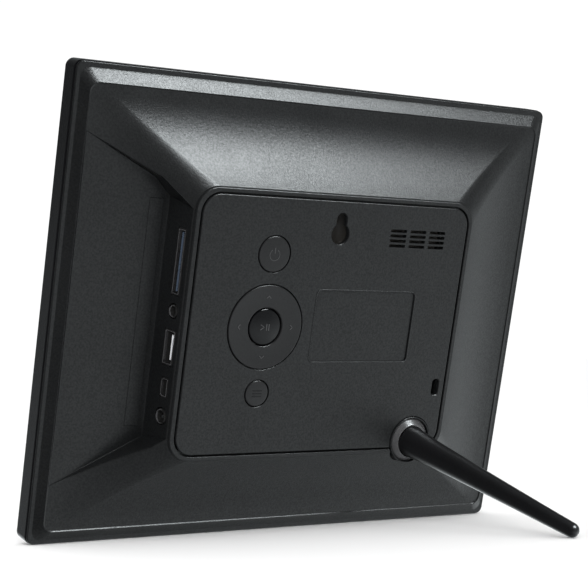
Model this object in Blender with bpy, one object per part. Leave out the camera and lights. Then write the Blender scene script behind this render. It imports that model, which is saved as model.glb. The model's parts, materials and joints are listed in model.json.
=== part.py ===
"""Digital photo frame that leans back on a screw-in peg leg.

The display faces -Y and the leg reaches towards +Y.  Every casing part is modelled upright, in the
coordinates of the frame itself (x to the side, y through the depth from the front face, z up the
frame), and hangs on the empty "lean", which tips the whole frame back.  Lengths are in millimetres
and are turned into metres where a mesh or a place is made.
"""
import math

import bmesh
import bpy
from mathutils import Matrix, Vector

MM = 0.001

# Driving dimensions of the frame
WIDTH = 220.0
HEIGHT = 180.0
DEPTH = 27.0
BEZEL_DEPTH = 9.1
LEAN = math.radians(13.6)
GAP = 0.3
WALL = 2.2
CORNER_RADIUS = 3.2
OUTER = (-WIDTH / 2, WIDTH / 2, 0.0, HEIGHT)

# Display window and module, an 8 inch 4:3 panel
WINDOW = (162.6, 122.4)
MODULE = (183.0, 141.0)
BEZEL_FACE = 2.2
FRONT_CHAMFER = 1.2
MODULE_BACK = 7.4

# Display stack, as (front, back) levels, and the strips that hold it
PANEL_SIZE = (174.0, 132.0)
PANEL_LEVEL = (2.5, 3.6)
GUIDE_INSET = 1.3
GUIDE_LEVEL = (4.0, 6.4)
TRAY_FRONT = 3.9
TRAY_FLOOR = 6.7
TRAY_WALL = 0.8
BRACKET_X = 84.0
BRACKET_WIDTH = 9.0
BRACKET_MARGIN = 8.0
BRACKET_THICKNESS = 0.8
BRACKET_POST_INSET = 11.5
BRACKET_POSTS = [
    (side * BRACKET_X, z) for side in (-1, 1) for z in (BRACKET_POST_INSET, HEIGHT - BRACKET_POST_INSET)
]
POST_RADIUS = 2.6
PILOT_RADIUS = 1.15

# Rear housing: outer lip, hollow chamfer up to a crest, hollow-ground slopes and the plateau.
# The crest lies closer to the sides than to the top: CREST_SHIFT is for x0, x1, z0 and z1.
LIP_LEVEL = 10.1
LIP_ROUND = 0.4
CHAMFER_FOOT = 2.2
CHAMFER_TOP = (6.0, 12.6)
CHAMFER_START_SLOPE = 0.55
CREST_SHIFT = (-0.9, -0.9, -0.4, 1.1)
CREST_RADIUS = 4.0
CREST_WIDTH = 0.35
SLOPE_INSET = 6.6
SLOPE_FOOT = 12.25
SLOPE_POWER = 1.7
PLATEAU = (-66.0, 64.6, 35.4, 140.6)
PLATEAU_RADIUS = 9.5
EDGE_ROUND = 0.8
EDGE_RISE = 0.3
FLOOR_THICKNESS = 2.0

# Cover panel let into the plateau
COVER = (-63.1, 61.6, 37.9, 137.9)
COVER_RADIUS = 7.5
COVER_THICKNESS = 2.0
GROOVE = 0.6
LEDGE = 3.5
LEDGE_THICKNESS = 1.8
COVER_EDGE = 0.4
COVER_BACK = DEPTH - COVER_THICKNESS
LEDGE_LEVEL = COVER_BACK - GAP
LEDGE_UNDER = LEDGE_LEVEL - LEDGE_THICKNESS
SIDE_RELIEF = (45.6, 129.6)

# Port trough on the side of the slopes
TROUGH_FLOOR = 12.05
TROUGH_MOUTH = (103.5, 24.0, 155.0)
TROUGH_END = (65.0, 43.0, 136.0)
PORT_WALL_DRAFT = math.radians(10.0)
PORT_LEVEL = 21.4
STRIP = (70.0, 76.0, 46.0, 133.0)
STRIP_HEIGHT = 0.3

# Controls, seen on the cover panel
KEY_COLUMN = 28.3
POWER_Z = 116.2
NAV_Z = 87.9
MENU_Z = 61.8
POWER_RADIUS = 7.3
NAV_RADIUS = 16.8
SELECT_RADIUS = 7.5
MENU_RADIUS = 5.5
KEY_CLEARANCE = 0.35
KEY_TOP = 27.2
KEYS = (("power", POWER_Z, POWER_RADIUS), ("select", NAV_Z, SELECT_RADIUS), ("menu", MENU_Z, MENU_RADIUS))
STEM_RADIUS = 1.5
KEY_STEM_FOOT = 22.0
KEY_FLANGE = (24.0, 24.5)
KEY_FLANGE_REACH = 0.8
KEY_SHOULDER = 0.5
KEY_DISH = 0.15
NAV_FLANGE = (23.9, 24.3)
NAV_FLANGE_REACH = 0.9
NAV_BORE_REACH = 1.2
NAV_SKIRT = 25.3
NAV_STEM_LEVEL = (22.2, 24.1)
NAV_SWITCH_OFFSET = 10.3
GIMBAL_RADII = (14.1, 15.9)
GIMBAL_LEVEL = (22.1, 22.8)
SWITCH_SIZE = 6.0
SWITCH_HOLE = 3.9
SWITCH_TOP = 22.8

# Other openings of the cover panel
KEYHOLE = (-0.7, 125.0)
KEYHOLE_RADIUS = 4.0
KEYHOLE_HALF_SLOT = 2.3
KEYHOLE_TOP = 8.2
GRILLE = (-38.4, 124.5)
GRILLE_PITCH = (9.7, 2.0)
GRILLE_SLOT = (7.9, 1.1)
LABEL_RECESS = (-41.2, 6.3, 74.3, 102.6)
LABEL_DEPTH = 0.5
LABEL_RADIUS = 1.8
LOCK_SLOT = (-58.7, 63.3)
LOCK_SIZE = (3.3, 6.6)
LOCK_RADIUS = 1.2

# Ports, as (height on the wall, size along z, size along y)
CARD_PORT = (111.0, 24.6, 4.2)
PHONE_PORT_Z = 92.4
USB_PORT = (78.6, 13.1, 5.7)
MINI_PORT = (63.2, 7.2, 3.8)
POWER_PORT_Z = 52.1
PORT_CLEARANCE = 0.35
PORT_HOLE = (-7.0, 6.0)
PORT_FACE = TROUGH_END[0] + (DEPTH - PORT_LEVEL) * math.tan(PORT_WALL_DRAFT)
PHONE_JACK = (2.5, 1.8)
POWER_JACK = (3.0, 2.4)
JACK_NOSE_GAP = 0.1
JACK_HALF_WIDTH = 3.6
JACK_BODY = (52.0, 24.4)
JACK_BORE_END = 53.5
POWER_PIN_RADIUS = 0.8
SHEET = 0.35
CARD_BACK = 44.0
USB_BACK = 52.0
MINI_BACK = 57.0
CARD_CONTACT_LEVEL = (-0.5, 0.2)
USB_TONGUE_LEVEL = (-2.0, -0.2)
MINI_TONGUE_LEVEL = (-0.5, 0.4)

# Screw-in leg
SOCKET = (-49.3, 41.0)
SOCKET_RADIUS = 9.9
LEG_ROOT = Vector((-49.4, 28.5, 40.6))
LEG_TILT = math.radians(23.3)
LEG_HEADING = math.radians(30.0)
LEG_ROOT_RADIUS = 6.2
LEG_TIP_RADIUS = 3.0
LEG_COLLAR = 2.0
LEG_TAPER_POWER = 0.7
LEG_INSIDE = 2.5
STUD_RADIUS = 2.45
STUD_LENGTH = 9.2
STUD_LEAD = 0.6
INSERT_RADIUS = 4.0
INSERT_LEVEL = (-13.8, -3.7)
STEM_LEVEL = (-15.4, -6.6)
SOCKET_STEM_RADIUS = 6.6
SOCKET_BORE = (4.3, -14.2, -3.3)
LEG_CLEARANCE = 0.4
BOSS_RIM = 0.75
BOSS_TOP = 0.2
BOSS_RECESS = 1.2
SOCKET_PLATE = (-62.9, -34.0, 38.4, 55.2)
SOCKET_PLATE_THICKNESS = 1.8
SOCKET_SCREWS = [(-61.6, 52.8), (-36.5, 39.9)]
FERRULE_FOOT = 0.9
FERRULE_RIM = 0.2
FERRULE_TOP = 1.7

# Circuit boards
BOARD = (-20.0, 62.0, 46.0, 132.0)
BOARD_LEVEL = (16.2, 17.8)
KEY_BOARD = (13.5, 43.0, 54.0, 124.0)
KEY_BOARD_LEVEL = (19.9, 21.1)
KEY_POSTS = [(KEY_COLUMN - 11.8, 68.0), (KEY_COLUMN + 12.2, 108.0)]
KEY_POST_RADIUS = 2.0
BOARD_POSTS = [(55.0, 128.4), (-16.0, 128.0), (-16.0, 50.0), (46.0, 50.0)]
SCREW_PILOT = 1.1
CHIP_LEVEL = BOARD_LEVEL[0] - GAP
PROCESSOR = (18.0, 34.0, 92.0, 108.0, 1.4)
MEMORY = (40.0, 51.0, 94.0, 112.0, 1.1)
INDUCTOR = (30.0, 38.0, 60.0, 68.0, 3.6)
RIBBON_SOCKET = (-9.5, 7.5, 60.0, 65.0, 1.9)
CAPACITOR = (50.0, 64.0, 3.1, 4.6)
RIBBON_SPAN = (-8.0, 6.0)
RIBBON_THICKNESS = 0.25
RIBBON_TURN = 78.0
RIBBON_START = 40.0
RIBBON_END = 60.5

# Speaker, as (width, height, corner radius) outlines, and the cups behind the cover
BASKET_OUTSIDE = (29.0, 17.0, 8.0)
BASKET_RIM = (26.0, 14.0, 6.5)
BASKET_FLOOR = (20.0, 11.0, 5.0)
BASKET_INSIDE = (18.0, 9.0, 4.2)
BASKET_LEVELS = (19.8, 20.8, 22.2, 22.9)
CONE_RIM = (25.2, 13.2, 6.2)
CONE_DISH = (12.0, 4.0, 1.9)
CONE_LEVELS = (21.7, 22.2, 23.5, 23.9)
MAGNET_RADIUS = 4.6
MAGNET_LEVEL = (18.0, 19.5)
CUP_SIZE = (13.0, 17.0)
CUP_RADIUS = 4.0
CUP_WALL = 1.0
CUP_LEVEL = (19.6, 20.6)
CUP_RISE = 1.5
LOCK_PLATE_SIZE = (9.0, 15.0)
LOCK_PLATE_SHIFT = 2.0
LOCK_PLATE_THICKNESS = 1.2


def clear_scene():
    for item in list(bpy.data.objects):
        bpy.data.objects.remove(item, do_unlink=True)


def material(name, colour, roughness, metallic=0.0):
    """A plain Principled material, shared by the parts that ask for the same name."""
    found = bpy.data.materials.get(name)
    if found:
        return found
    made = bpy.data.materials.new(name)
    made.use_nodes = True
    shader = made.node_tree.nodes["Principled BSDF"]
    shader.inputs["Base Color"].default_value = (*colour, 1.0)
    shader.inputs["Roughness"].default_value = roughness
    shader.inputs["Metallic"].default_value = metallic
    return made


def housing_plastic():
    return material("housing_plastic", (0.045, 0.047, 0.05), 0.5)


def bezel_plastic():
    return material("bezel_plastic", (0.012, 0.012, 0.014), 0.3)


def key_plastic():
    return material("key_plastic", (0.05, 0.052, 0.055), 0.45)


def steel():
    return material("steel", (0.62, 0.63, 0.64), 0.3, 1.0)


def dark_plastic():
    return material("dark_plastic", (0.02, 0.02, 0.02), 0.5)


def board_green():
    return material("board_green", (0.02, 0.13, 0.06), 0.4)


def empty(name, location, rotation=None, parent=None):
    """An empty that carries parts; rotation is a 3x3 matrix."""
    made = bpy.data.objects.new(name, None)
    bpy.context.collection.objects.link(made)
    made.parent = parent
    place = Matrix.Translation(Vector(location) * MM)
    if rotation is not None:
        place = place @ rotation.to_4x4()
    made.matrix_local = place
    return made


def add(name, mesh_maker, finish, parent, location=(0, 0, 0), along_y=False):
    """A named part from a bmesh in millimetres; along_y turns a lathe axis from z to y."""
    shape = bmesh.new()
    mesh_maker(shape)
    bmesh.ops.recalc_face_normals(shape, faces=shape.faces)
    bmesh.ops.scale(shape, vec=(MM, MM, MM), verts=shape.verts)
    mesh = bpy.data.meshes.new(name)
    shape.to_mesh(mesh)
    shape.free()
    part = bpy.data.objects.new(name, mesh)
    bpy.context.collection.objects.link(part)
    part.parent = parent
    part.location = Vector(location) * MM
    if along_y:
        part.rotation_euler = (-math.pi / 2, 0, 0)
    if finish is not None:
        mesh.materials.append(finish)
    mesh.shade_smooth()
    mesh.set_sharp_from_angle(angle=math.radians(32))
    return part


def cutter(name, mesh_maker, parent, location=(0, 0, 0), along_y=False):
    """A helper solid that only cuts or joins other parts."""
    tool = add(name, mesh_maker, None, parent, location, along_y)
    tool.hide_render = True
    tool.display_type = "WIRE"
    return tool


def combine(part, tool, operation="DIFFERENCE"):
    step = part.modifiers.new(tool.name, "BOOLEAN")
    step.operation = operation
    step.solver = "EXACT"
    step.object = tool


# Outlines and solids


def rounded_outline(box, radius, steps=5):
    """Points (x, z) round a rectangle box = (x0, x1, z0, z1), as seen along +y."""
    x0, x1, z0, z1 = box
    centres = (
        (x1 - radius, z1 - radius, 0),
        (x0 + radius, z1 - radius, 90),
        (x0 + radius, z0 + radius, 180),
        (x1 - radius, z0 + radius, 270),
    )
    points = []
    for cx, cz, start in centres:
        for step in range(steps + 1):
            angle = math.radians(start + 90 * step / steps)
            points.append((cx + radius * math.cos(angle), cz + radius * math.sin(angle)))
    return points


def inset_box(box, inset):
    x0, x1, z0, z1 = box
    return (x0 + inset, x1 - inset, z0 + inset, z1 - inset)


def centred_box(x, z, width, height):
    return (x - width / 2, x + width / 2, z - height / 2, z + height / 2)


def mix(a, b, t):
    return a + (b - a) * t


def loft(shape, loops, closed=False):
    """Skin loops of 3-D points that have equal counts; a closed loft is a ring without caps."""
    rings = [[shape.verts.new(point) for point in loop] for loop in loops]
    pairs = list(zip(rings, rings[1:]))
    if closed:
        pairs.append((rings[-1], rings[0]))
    for lower, upper in pairs:
        count = len(lower)
        for i in range(count):
            j = (i + 1) % count
            shape.faces.new((lower[i], lower[j], upper[j], upper[i]))
    if not closed:
        shape.faces.new(rings[0])
        shape.faces.new(rings[-1])


def layer(outline, y):
    return [(x, y, z) for x, z in outline]


def plate(outline, y0, y1):
    """A mesh maker for a flat plate with the given outline."""
    return lambda shape: loft(shape, [layer(outline, y0), layer(outline, y1)])


def block(x0, x1, y0, y1, z0, z1):
    corners = [(x0, z0), (x1, z0), (x1, z1), (x0, z1)]
    return plate(corners, y0, y1)


def several(*makers):
    """A mesh maker for a group of separate solids in one part."""
    def build(shape):
        for maker in makers:
            maker(shape)
    return build


def frame_plate(outer, inner, y0, y1):
    """A flat frame: outer and inner outlines have equal counts."""
    loops = [layer(outer, y0), layer(outer, y1), layer(inner, y1), layer(inner, y0)]
    return lambda shape: loft(shape, loops, closed=True)


def turned(profile, steps=32, offset=(0, 0, 0)):
    """Revolve (radius, height) points about z; ends on the axis close it, else it is a ring."""
    ox, oy, oz = offset

    def build(shape):
        def ring(radius, height):
            if radius == 0:
                return [shape.verts.new((ox, oy, oz + height))]
            turns = [2 * math.pi * i / steps for i in range(steps)]
            return [
                shape.verts.new((ox + radius * math.cos(a), oy + radius * math.sin(a), oz + height))
                for a in turns
            ]

        rings = [ring(*point) for point in profile]
        on_axis = profile[0][0] == 0 and profile[-1][0] == 0
        pairs = list(zip(rings, rings[1:]))
        if not on_axis:
            pairs.append((rings[-1], rings[0]))
        for lower, upper in pairs:
            for i in range(steps):
                j = (i + 1) % steps
                corners = [lower[i % len(lower)], lower[j % len(lower)]]
                corners += [upper[j % len(upper)], upper[i % len(upper)]]
                unique = list(dict.fromkeys(corners))
                shape.faces.new(unique)
    return build


def drum(radius, h0, h1, steps=32, offset=(0, 0, 0)):
    return turned([(0, h0), (radius, h0), (radius, h1), (0, h1)], steps, offset)


def sleeve(inner, outer, h0, h1, steps=32, offset=(0, 0, 0)):
    return turned([(inner, h0), (outer, h0), (outer, h1), (inner, h1)], steps, offset)


def add_screws(name, places, seat, length, lean, towards=1):
    """Pan-head screws with their heads' undersides at the level seat, one part for each (x, z)."""
    shank, head, head_height, shoulder = 0.8, 1.8, 1.1, 0.5
    profile = [
        (0, -head_height), (head - shoulder, -head_height), (head, shoulder - head_height), (head, 0),
        (shank, 0), (shank, length), (0, length),
    ]
    shape = turned([(radius, seat + towards * height) for radius, height in profile], 10)
    for number, (x, z) in enumerate(places, 1):
        add(f"{name}_{number}", shape, steel(), lean, (x, 0, z), along_y=True)


# Casing


def edge_box(inset):
    """The casing's outline at an inset, shifted gradually to where the crest lies on each side."""
    share = min(max((inset - LIP_ROUND - WALL / 2) / (CHAMFER_TOP[0] - WALL), 0.0), 1.0)
    left, right, low, high = (inset + shift * share for shift in CREST_SHIFT)
    return (OUTER[0] + left, OUTER[1] - right, OUTER[2] + low, OUTER[3] - high)


def slope_height(blend, foot=SLOPE_FOOT, top=DEPTH - EDGE_RISE):
    return foot + (top - foot) * blend ** SLOPE_POWER


def housing_skin(shape):
    """The solid outer form: lip, hollow chamfer, crest, hollow slopes and flat plateau."""
    seam = BEZEL_DEPTH + GAP
    lip_radius = CORNER_RADIUS - GAP
    loops = [
        layer(rounded_outline(inset_box(OUTER, GAP), lip_radius), seam),
        layer(rounded_outline(inset_box(OUTER, GAP), lip_radius), LIP_LEVEL - LIP_ROUND),
        layer(rounded_outline(inset_box(OUTER, GAP + LIP_ROUND), lip_radius), LIP_LEVEL),
    ]
    width = CHAMFER_TOP[0] - CHAMFER_FOOT
    curl = (CHAMFER_TOP[1] - LIP_LEVEL - CHAMFER_START_SLOPE * width) / width ** 2
    for across in (0.0, width / 2, width):
        rise = (CHAMFER_START_SLOPE + curl * across) * across
        outline = rounded_outline(edge_box(CHAMFER_FOOT + across), CREST_RADIUS)
        loops.append(layer(outline, LIP_LEVEL + rise))
    step_box = edge_box(CHAMFER_TOP[0] + CREST_WIDTH)
    loops.append(layer(rounded_outline(step_box, CREST_RADIUS), SLOPE_FOOT - COVER_EDGE / 4))
    levels = 8
    for step in range(levels + 1):
        blend = step / levels
        box = tuple(mix(a, b, blend) for a, b in zip(edge_box(SLOPE_INSET), PLATEAU))
        outline = rounded_outline(box, mix(CREST_RADIUS, PLATEAU_RADIUS, blend))
        loops.append(layer(outline, slope_height(blend)))
    top = rounded_outline(inset_box(PLATEAU, EDGE_ROUND), PLATEAU_RADIUS - EDGE_ROUND)
    loops.append(layer(top, DEPTH))
    loft(shape, loops)


def housing_hollow(shape):
    """The hollow inside the housing, open towards the bezel."""
    mouth = rounded_outline(inset_box(OUTER, 2 * WALL), FLOOR_THICKNESS)
    loops = [layer(mouth, BEZEL_DEPTH - FLOOR_THICKNESS), layer(mouth, BEZEL_DEPTH + GAP)]
    levels = 6
    inner_plateau = inset_box(PLATEAU, WALL)
    start = inset_box(OUTER, SLOPE_INSET + WALL)
    for step in range(levels + 1):
        blend = step / levels
        box = tuple(mix(a, b, blend) for a, b in zip(start, inner_plateau))
        outline = rounded_outline(box, mix(FLOOR_THICKNESS, PLATEAU_RADIUS - WALL, blend))
        loops.append(layer(outline, slope_height(blend, SLOPE_FOOT - FLOOR_THICKNESS, LEDGE_UNDER)))
    loft(shape, loops)


def trough_outline(grow, end_x):
    """Plan of the port trough, widening towards the outer edge; grow adds to every side."""
    mouth_x, mouth_low, mouth_high = TROUGH_MOUTH
    inner_x, inner_low, inner_high = TROUGH_END
    flare = (inner_low - mouth_low) / (mouth_x - inner_x)
    shift = (inner_x - end_x) * flare
    return [
        (mouth_x + grow, mouth_low - grow - grow * flare),
        (mouth_x + grow, mouth_high + grow + grow * flare),
        (end_x - grow, inner_high - shift + grow),
        (end_x - grow, inner_low + shift - grow),
    ]


def trough_cut(shape):
    """The trough itself; its inner end is the drafted wall that carries the ports."""
    rise = DEPTH + 1 - TROUGH_FLOOR
    foot_x = TROUGH_END[0] + (DEPTH - TROUGH_FLOOR) * math.tan(PORT_WALL_DRAFT)
    top_x = foot_x - rise * math.tan(PORT_WALL_DRAFT)
    lower = layer(trough_outline(0, foot_x), TROUGH_FLOOR)
    upper = layer(trough_outline(0, top_x), DEPTH + 1)
    loft(shape, [lower, upper])


def cover_outline(grow=0.0):
    return rounded_outline(inset_box(COVER, -grow), COVER_RADIUS + grow)


def port_holes():
    """Openings in the port wall, all cut along x."""
    x0, x1 = (TROUGH_END[0] + end for end in PORT_HOLE)
    holes = []
    for z, width, height in (CARD_PORT, USB_PORT, MINI_PORT):
        half_z = width / 2 + PORT_CLEARANCE
        half_y = height / 2 + PORT_CLEARANCE
        holes.append(block(x0, x1, PORT_LEVEL - half_y, PORT_LEVEL + half_y, z - half_z, z + half_z))
    for z, radius in ((PHONE_PORT_Z, PHONE_JACK[0]), (POWER_PORT_Z, POWER_JACK[0])):
        holes.append(barrel(radius + JACK_NOSE_GAP + PORT_CLEARANCE, x0, x1, z))
    return several(*holes)


def barrel(radius, x0, x1, z, inner=0.0, steps=20):
    """A cylinder or sleeve along x at the ports' level."""
    def build(shape):
        start = len(shape.verts)
        maker = sleeve(inner, radius, x0, x1, steps) if inner else drum(radius, x0, x1, steps)
        maker(shape)
        shape.verts.ensure_lookup_table()
        turn = Matrix.Translation((0, PORT_LEVEL, z)) @ Matrix.Rotation(math.pi / 2, 4, "Y")
        bmesh.ops.transform(shape, matrix=turn, verts=shape.verts[start:])
    return build


def make_housing(lean):
    tray = plate(trough_outline(WALL, TROUGH_END[0]), TROUGH_FLOOR - WALL, DEPTH + WALL)
    hollow = cutter("housing_hollow_tool", housing_hollow, lean)
    combine(hollow, cutter("trough_tray_tool", tray, lean))
    housing = add("rear_housing", housing_skin, housing_plastic(), lean)
    combine(housing, hollow)
    combine(housing, cutter("trough_tool", trough_cut, lean))
    pocket = plate(cover_outline(GROOVE), LEDGE_LEVEL, DEPTH + 1)
    combine(housing, cutter("pocket_tool", pocket, lean))
    opening = rounded_outline(inset_box(COVER, LEDGE - GROOVE), COVER_RADIUS - LEDGE + GROOVE)
    combine(housing, cutter("ledge_tool", plate(opening, LEDGE_UNDER - LEDGE, DEPTH + WALL), lean))
    x0, x1 = COVER[1] - LEDGE - WALL, COVER[1] + GROOVE
    side = block(x0, x1, LEDGE_UNDER - LEDGE, DEPTH + GROOVE, *SIDE_RELIEF)
    combine(housing, cutter("side_relief_tool", side, lean))
    combine(housing, cutter("port_tool", port_holes(), lean))
    x0, x1, z0, z1 = STRIP
    pad = block(x0, x1, TROUGH_FLOOR - STRIP_HEIGHT, TROUGH_FLOOR + STRIP_HEIGHT, z0, z1)
    combine(housing, cutter("pad_tool", pad, lean), "UNION")
    around = drum(SOCKET_RADIUS + GAP, BOARD_LEVEL[0], DEPTH + WALL, 40)
    combine(housing, cutter("socket_tool", around, lean, (SOCKET[0], 0, SOCKET[1]), along_y=True))
    low, high = LEDGE_UNDER - WALL, DEPTH - WALL
    pilots = several(*[drum(SCREW_PILOT, low, high, 10, (x, -z, 0)) for x, z in SOCKET_SCREWS])
    combine(housing, cutter("ledge_pilot_tool", pilots, lean, along_y=True))


def make_bezel(lean):
    """Front bezel: a raised rim round the window and four posts for the display brackets."""
    body = rounded_outline(OUTER, CORNER_RADIUS)
    chamfered = rounded_outline(inset_box(OUTER, FRONT_CHAMFER), CORNER_RADIUS - FRONT_CHAMFER / 2)
    softened = rounded_outline(inset_box(OUTER, FRONT_CHAMFER / 4), CORNER_RADIUS - FRONT_CHAMFER / 4)
    opening = centred_box(0, HEIGHT / 2, *WINDOW)
    window = rounded_outline(opening, 1.0)
    mouth = rounded_outline(inset_box(opening, -FRONT_CHAMFER), 1.0 + FRONT_CHAMFER / 2)
    pocket = rounded_outline(inset_box(OUTER, WALL), 1.0)

    def build(shape):
        loops = [
            layer(chamfered, 0), layer(softened, FRONT_CHAMFER / 4), layer(body, FRONT_CHAMFER),
            layer(body, BEZEL_DEPTH), layer(pocket, BEZEL_DEPTH), layer(pocket, BEZEL_FACE),
            layer(window, BEZEL_FACE), layer(window, FRONT_CHAMFER), layer(mouth, 0),
        ]
        loft(shape, loops, closed=True)

    bezel = add("front_bezel", build, bezel_plastic(), lean)
    root = BEZEL_FACE - GAP
    posts = several(*[drum(POST_RADIUS, root, MODULE_BACK, 12, (x, -z, 0)) for x, z in BRACKET_POSTS])
    combine(bezel, cutter("bezel_post_tool", posts, lean, along_y=True), "UNION")
    end = MODULE_BACK + 1
    pilots = several(*[drum(PILOT_RADIUS, BEZEL_FACE + 1, end, 10, (x, -z, 0)) for x, z in BRACKET_POSTS])
    combine(bezel, cutter("bezel_pilot_tool", pilots, lean, along_y=True))


def make_display(lean):
    """Liquid-crystal panel, light guide and steel tray, held by two strips screwed to the bezel."""
    centre = (0.0, HEIGHT / 2)
    glass = material("panel_glass", (0.01, 0.01, 0.015), 0.08)
    panel = rounded_outline(centred_box(*centre, *PANEL_SIZE), 0.5, 1)
    add("lcd_panel", plate(panel, *PANEL_LEVEL), glass, lean)
    module = centred_box(*centre, *MODULE)
    white = material("diffuser_white", (0.8, 0.8, 0.78), 0.6)
    guide = rounded_outline(inset_box(module, GUIDE_INSET), 0.5, 1)
    add("light_guide", plate(guide, *GUIDE_LEVEL), white, lean)
    outside = rounded_outline(module, 0.8, 2)
    inside = rounded_outline(inset_box(module, TRAY_WALL), 0.5, 2)

    def tray(shape):
        loft(shape, [
            layer(inside, TRAY_FLOOR), layer(inside, TRAY_FRONT), layer(outside, TRAY_FRONT),
            layer(outside, MODULE_BACK),
        ])

    add("lcd_tray", tray, steel(), lean)
    front = MODULE_BACK + GAP
    back = front + BRACKET_THICKNESS
    drills = several(*[drum(PILOT_RADIUS, front - 1, back + 1, 10, (x, -z, 0)) for x, z in BRACKET_POSTS])
    holes = cutter("bracket_hole_tool", drills, lean, along_y=True)
    for side, sign in (("left", 1), ("right", -1)):
        box = centred_box(sign * BRACKET_X, HEIGHT / 2, BRACKET_WIDTH, HEIGHT - 2 * BRACKET_MARGIN)
        strip = add("lcd_bracket_" + side, plate(rounded_outline(box, 2.0, 3), front, back), steel(), lean)
        combine(strip, holes)
    add_screws("bracket_screw", BRACKET_POSTS, back + GAP, 4.0, lean, towards=-1)


# Cover panel and controls


def cover_posts():
    """Hollow posts under the cover: (x, z, outer radius, end level)."""
    posts = [(x, z, KEY_POST_RADIUS, KEY_BOARD_LEVEL[1] + GAP) for x, z in KEY_POSTS]
    posts += [(x, z, POST_RADIUS, BOARD_LEVEL[1] + GAP) for x, z in BOARD_POSTS]
    return posts


def keyhole_cut(shape):
    """Round entry with a narrow slot above it."""
    x, z = KEYHOLE
    entry = math.asin(KEYHOLE_HALF_SLOT / KEYHOLE_RADIUS)
    sweep = 2 * (math.pi - entry)
    round_steps, slot_steps = 18, 8
    outline = []
    for step in range(round_steps + 1):
        angle = math.pi / 2 + entry + sweep * step / round_steps
        outline.append((x + KEYHOLE_RADIUS * math.cos(angle), z + KEYHOLE_RADIUS * math.sin(angle)))
    half = KEYHOLE_HALF_SLOT
    slot_z = z + KEYHOLE_TOP - half
    for step in range(slot_steps + 1):
        angle = math.pi * step / slot_steps
        outline.append((x + half * math.cos(angle), slot_z + half * math.sin(angle)))
    loft(shape, [layer(outline, COVER_BACK - 1), layer(outline, DEPTH + 1)])


def grille_cut():
    """Three columns of four sound slots."""
    slots = []
    for column in (-1, 0, 1):
        for row in (-1.5, -0.5, 0.5, 1.5):
            x = GRILLE[0] + GRILLE_PITCH[0] * column
            z = GRILLE[1] + GRILLE_PITCH[1] * row
            outline = rounded_outline(centred_box(x, z, *GRILLE_SLOT), 0.3, 1)
            slots.append(plate(outline, COVER_BACK - 1, DEPTH + 1))
    return several(*slots)


def make_cover(lean):
    def panel(shape):
        loft(shape, [
            layer(cover_outline(), COVER_BACK), layer(cover_outline(), DEPTH - COVER_EDGE),
            layer(cover_outline(-COVER_EDGE), DEPTH),
        ])

    cover = add("rear_cover", panel, housing_plastic(), lean)
    root = COVER_BACK + COVER_EDGE
    posts = several(*[drum(r, end, root, 12, (x, -z, 0)) for x, z, r, end in cover_posts()])
    combine(cover, cutter("post_tool", posts, lean, along_y=True), "UNION")
    ends = [(x, -z, end) for x, z, _, end in cover_posts()]
    pilots = several(*[drum(SCREW_PILOT, -1, 3, 10, end) for end in ends])
    combine(cover, cutter("pilot_tool", pilots, lean, along_y=True))
    rounds = (
        (POWER_RADIUS, KEY_COLUMN, POWER_Z), (NAV_RADIUS, KEY_COLUMN, NAV_Z),
        (MENU_RADIUS, KEY_COLUMN, MENU_Z), (SOCKET_RADIUS + GAP, *SOCKET),
    )
    holes = several(*[drum(r, COVER_BACK - 1, DEPTH + 1, 48, (x, -z, 0)) for r, x, z in rounds])
    combine(cover, cutter("key_hole_tool", holes, lean, along_y=True))
    combine(cover, cutter("keyhole_tool", keyhole_cut, lean))
    combine(cover, cutter("grille_tool", grille_cut(), lean))
    recess = plate(rounded_outline(LABEL_RECESS, LABEL_RADIUS, 3), DEPTH - LABEL_DEPTH, DEPTH + 1)
    combine(cover, cutter("label_tool", recess, lean))
    slot = rounded_outline(centred_box(*LOCK_SLOT, *LOCK_SIZE), LOCK_RADIUS, 3)
    combine(cover, cutter("lock_tool", plate(slot, COVER_BACK - 1, DEPTH + 1), lean))


def key_cap(radius):
    """A round key: rounded edge above, retaining flange and stem below."""
    outer = radius - KEY_CLEARANCE
    flange = radius + KEY_FLANGE_REACH
    low, high = KEY_FLANGE
    return turned([
        (0, KEY_STEM_FOOT), (STEM_RADIUS, KEY_STEM_FOOT), (STEM_RADIUS, low), (flange, low),
        (flange, high), (outer, high), (outer, KEY_TOP - KEY_SHOULDER), (outer - KEY_SHOULDER, KEY_TOP),
        (0, KEY_TOP - KEY_DISH),
    ], 40)


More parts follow.
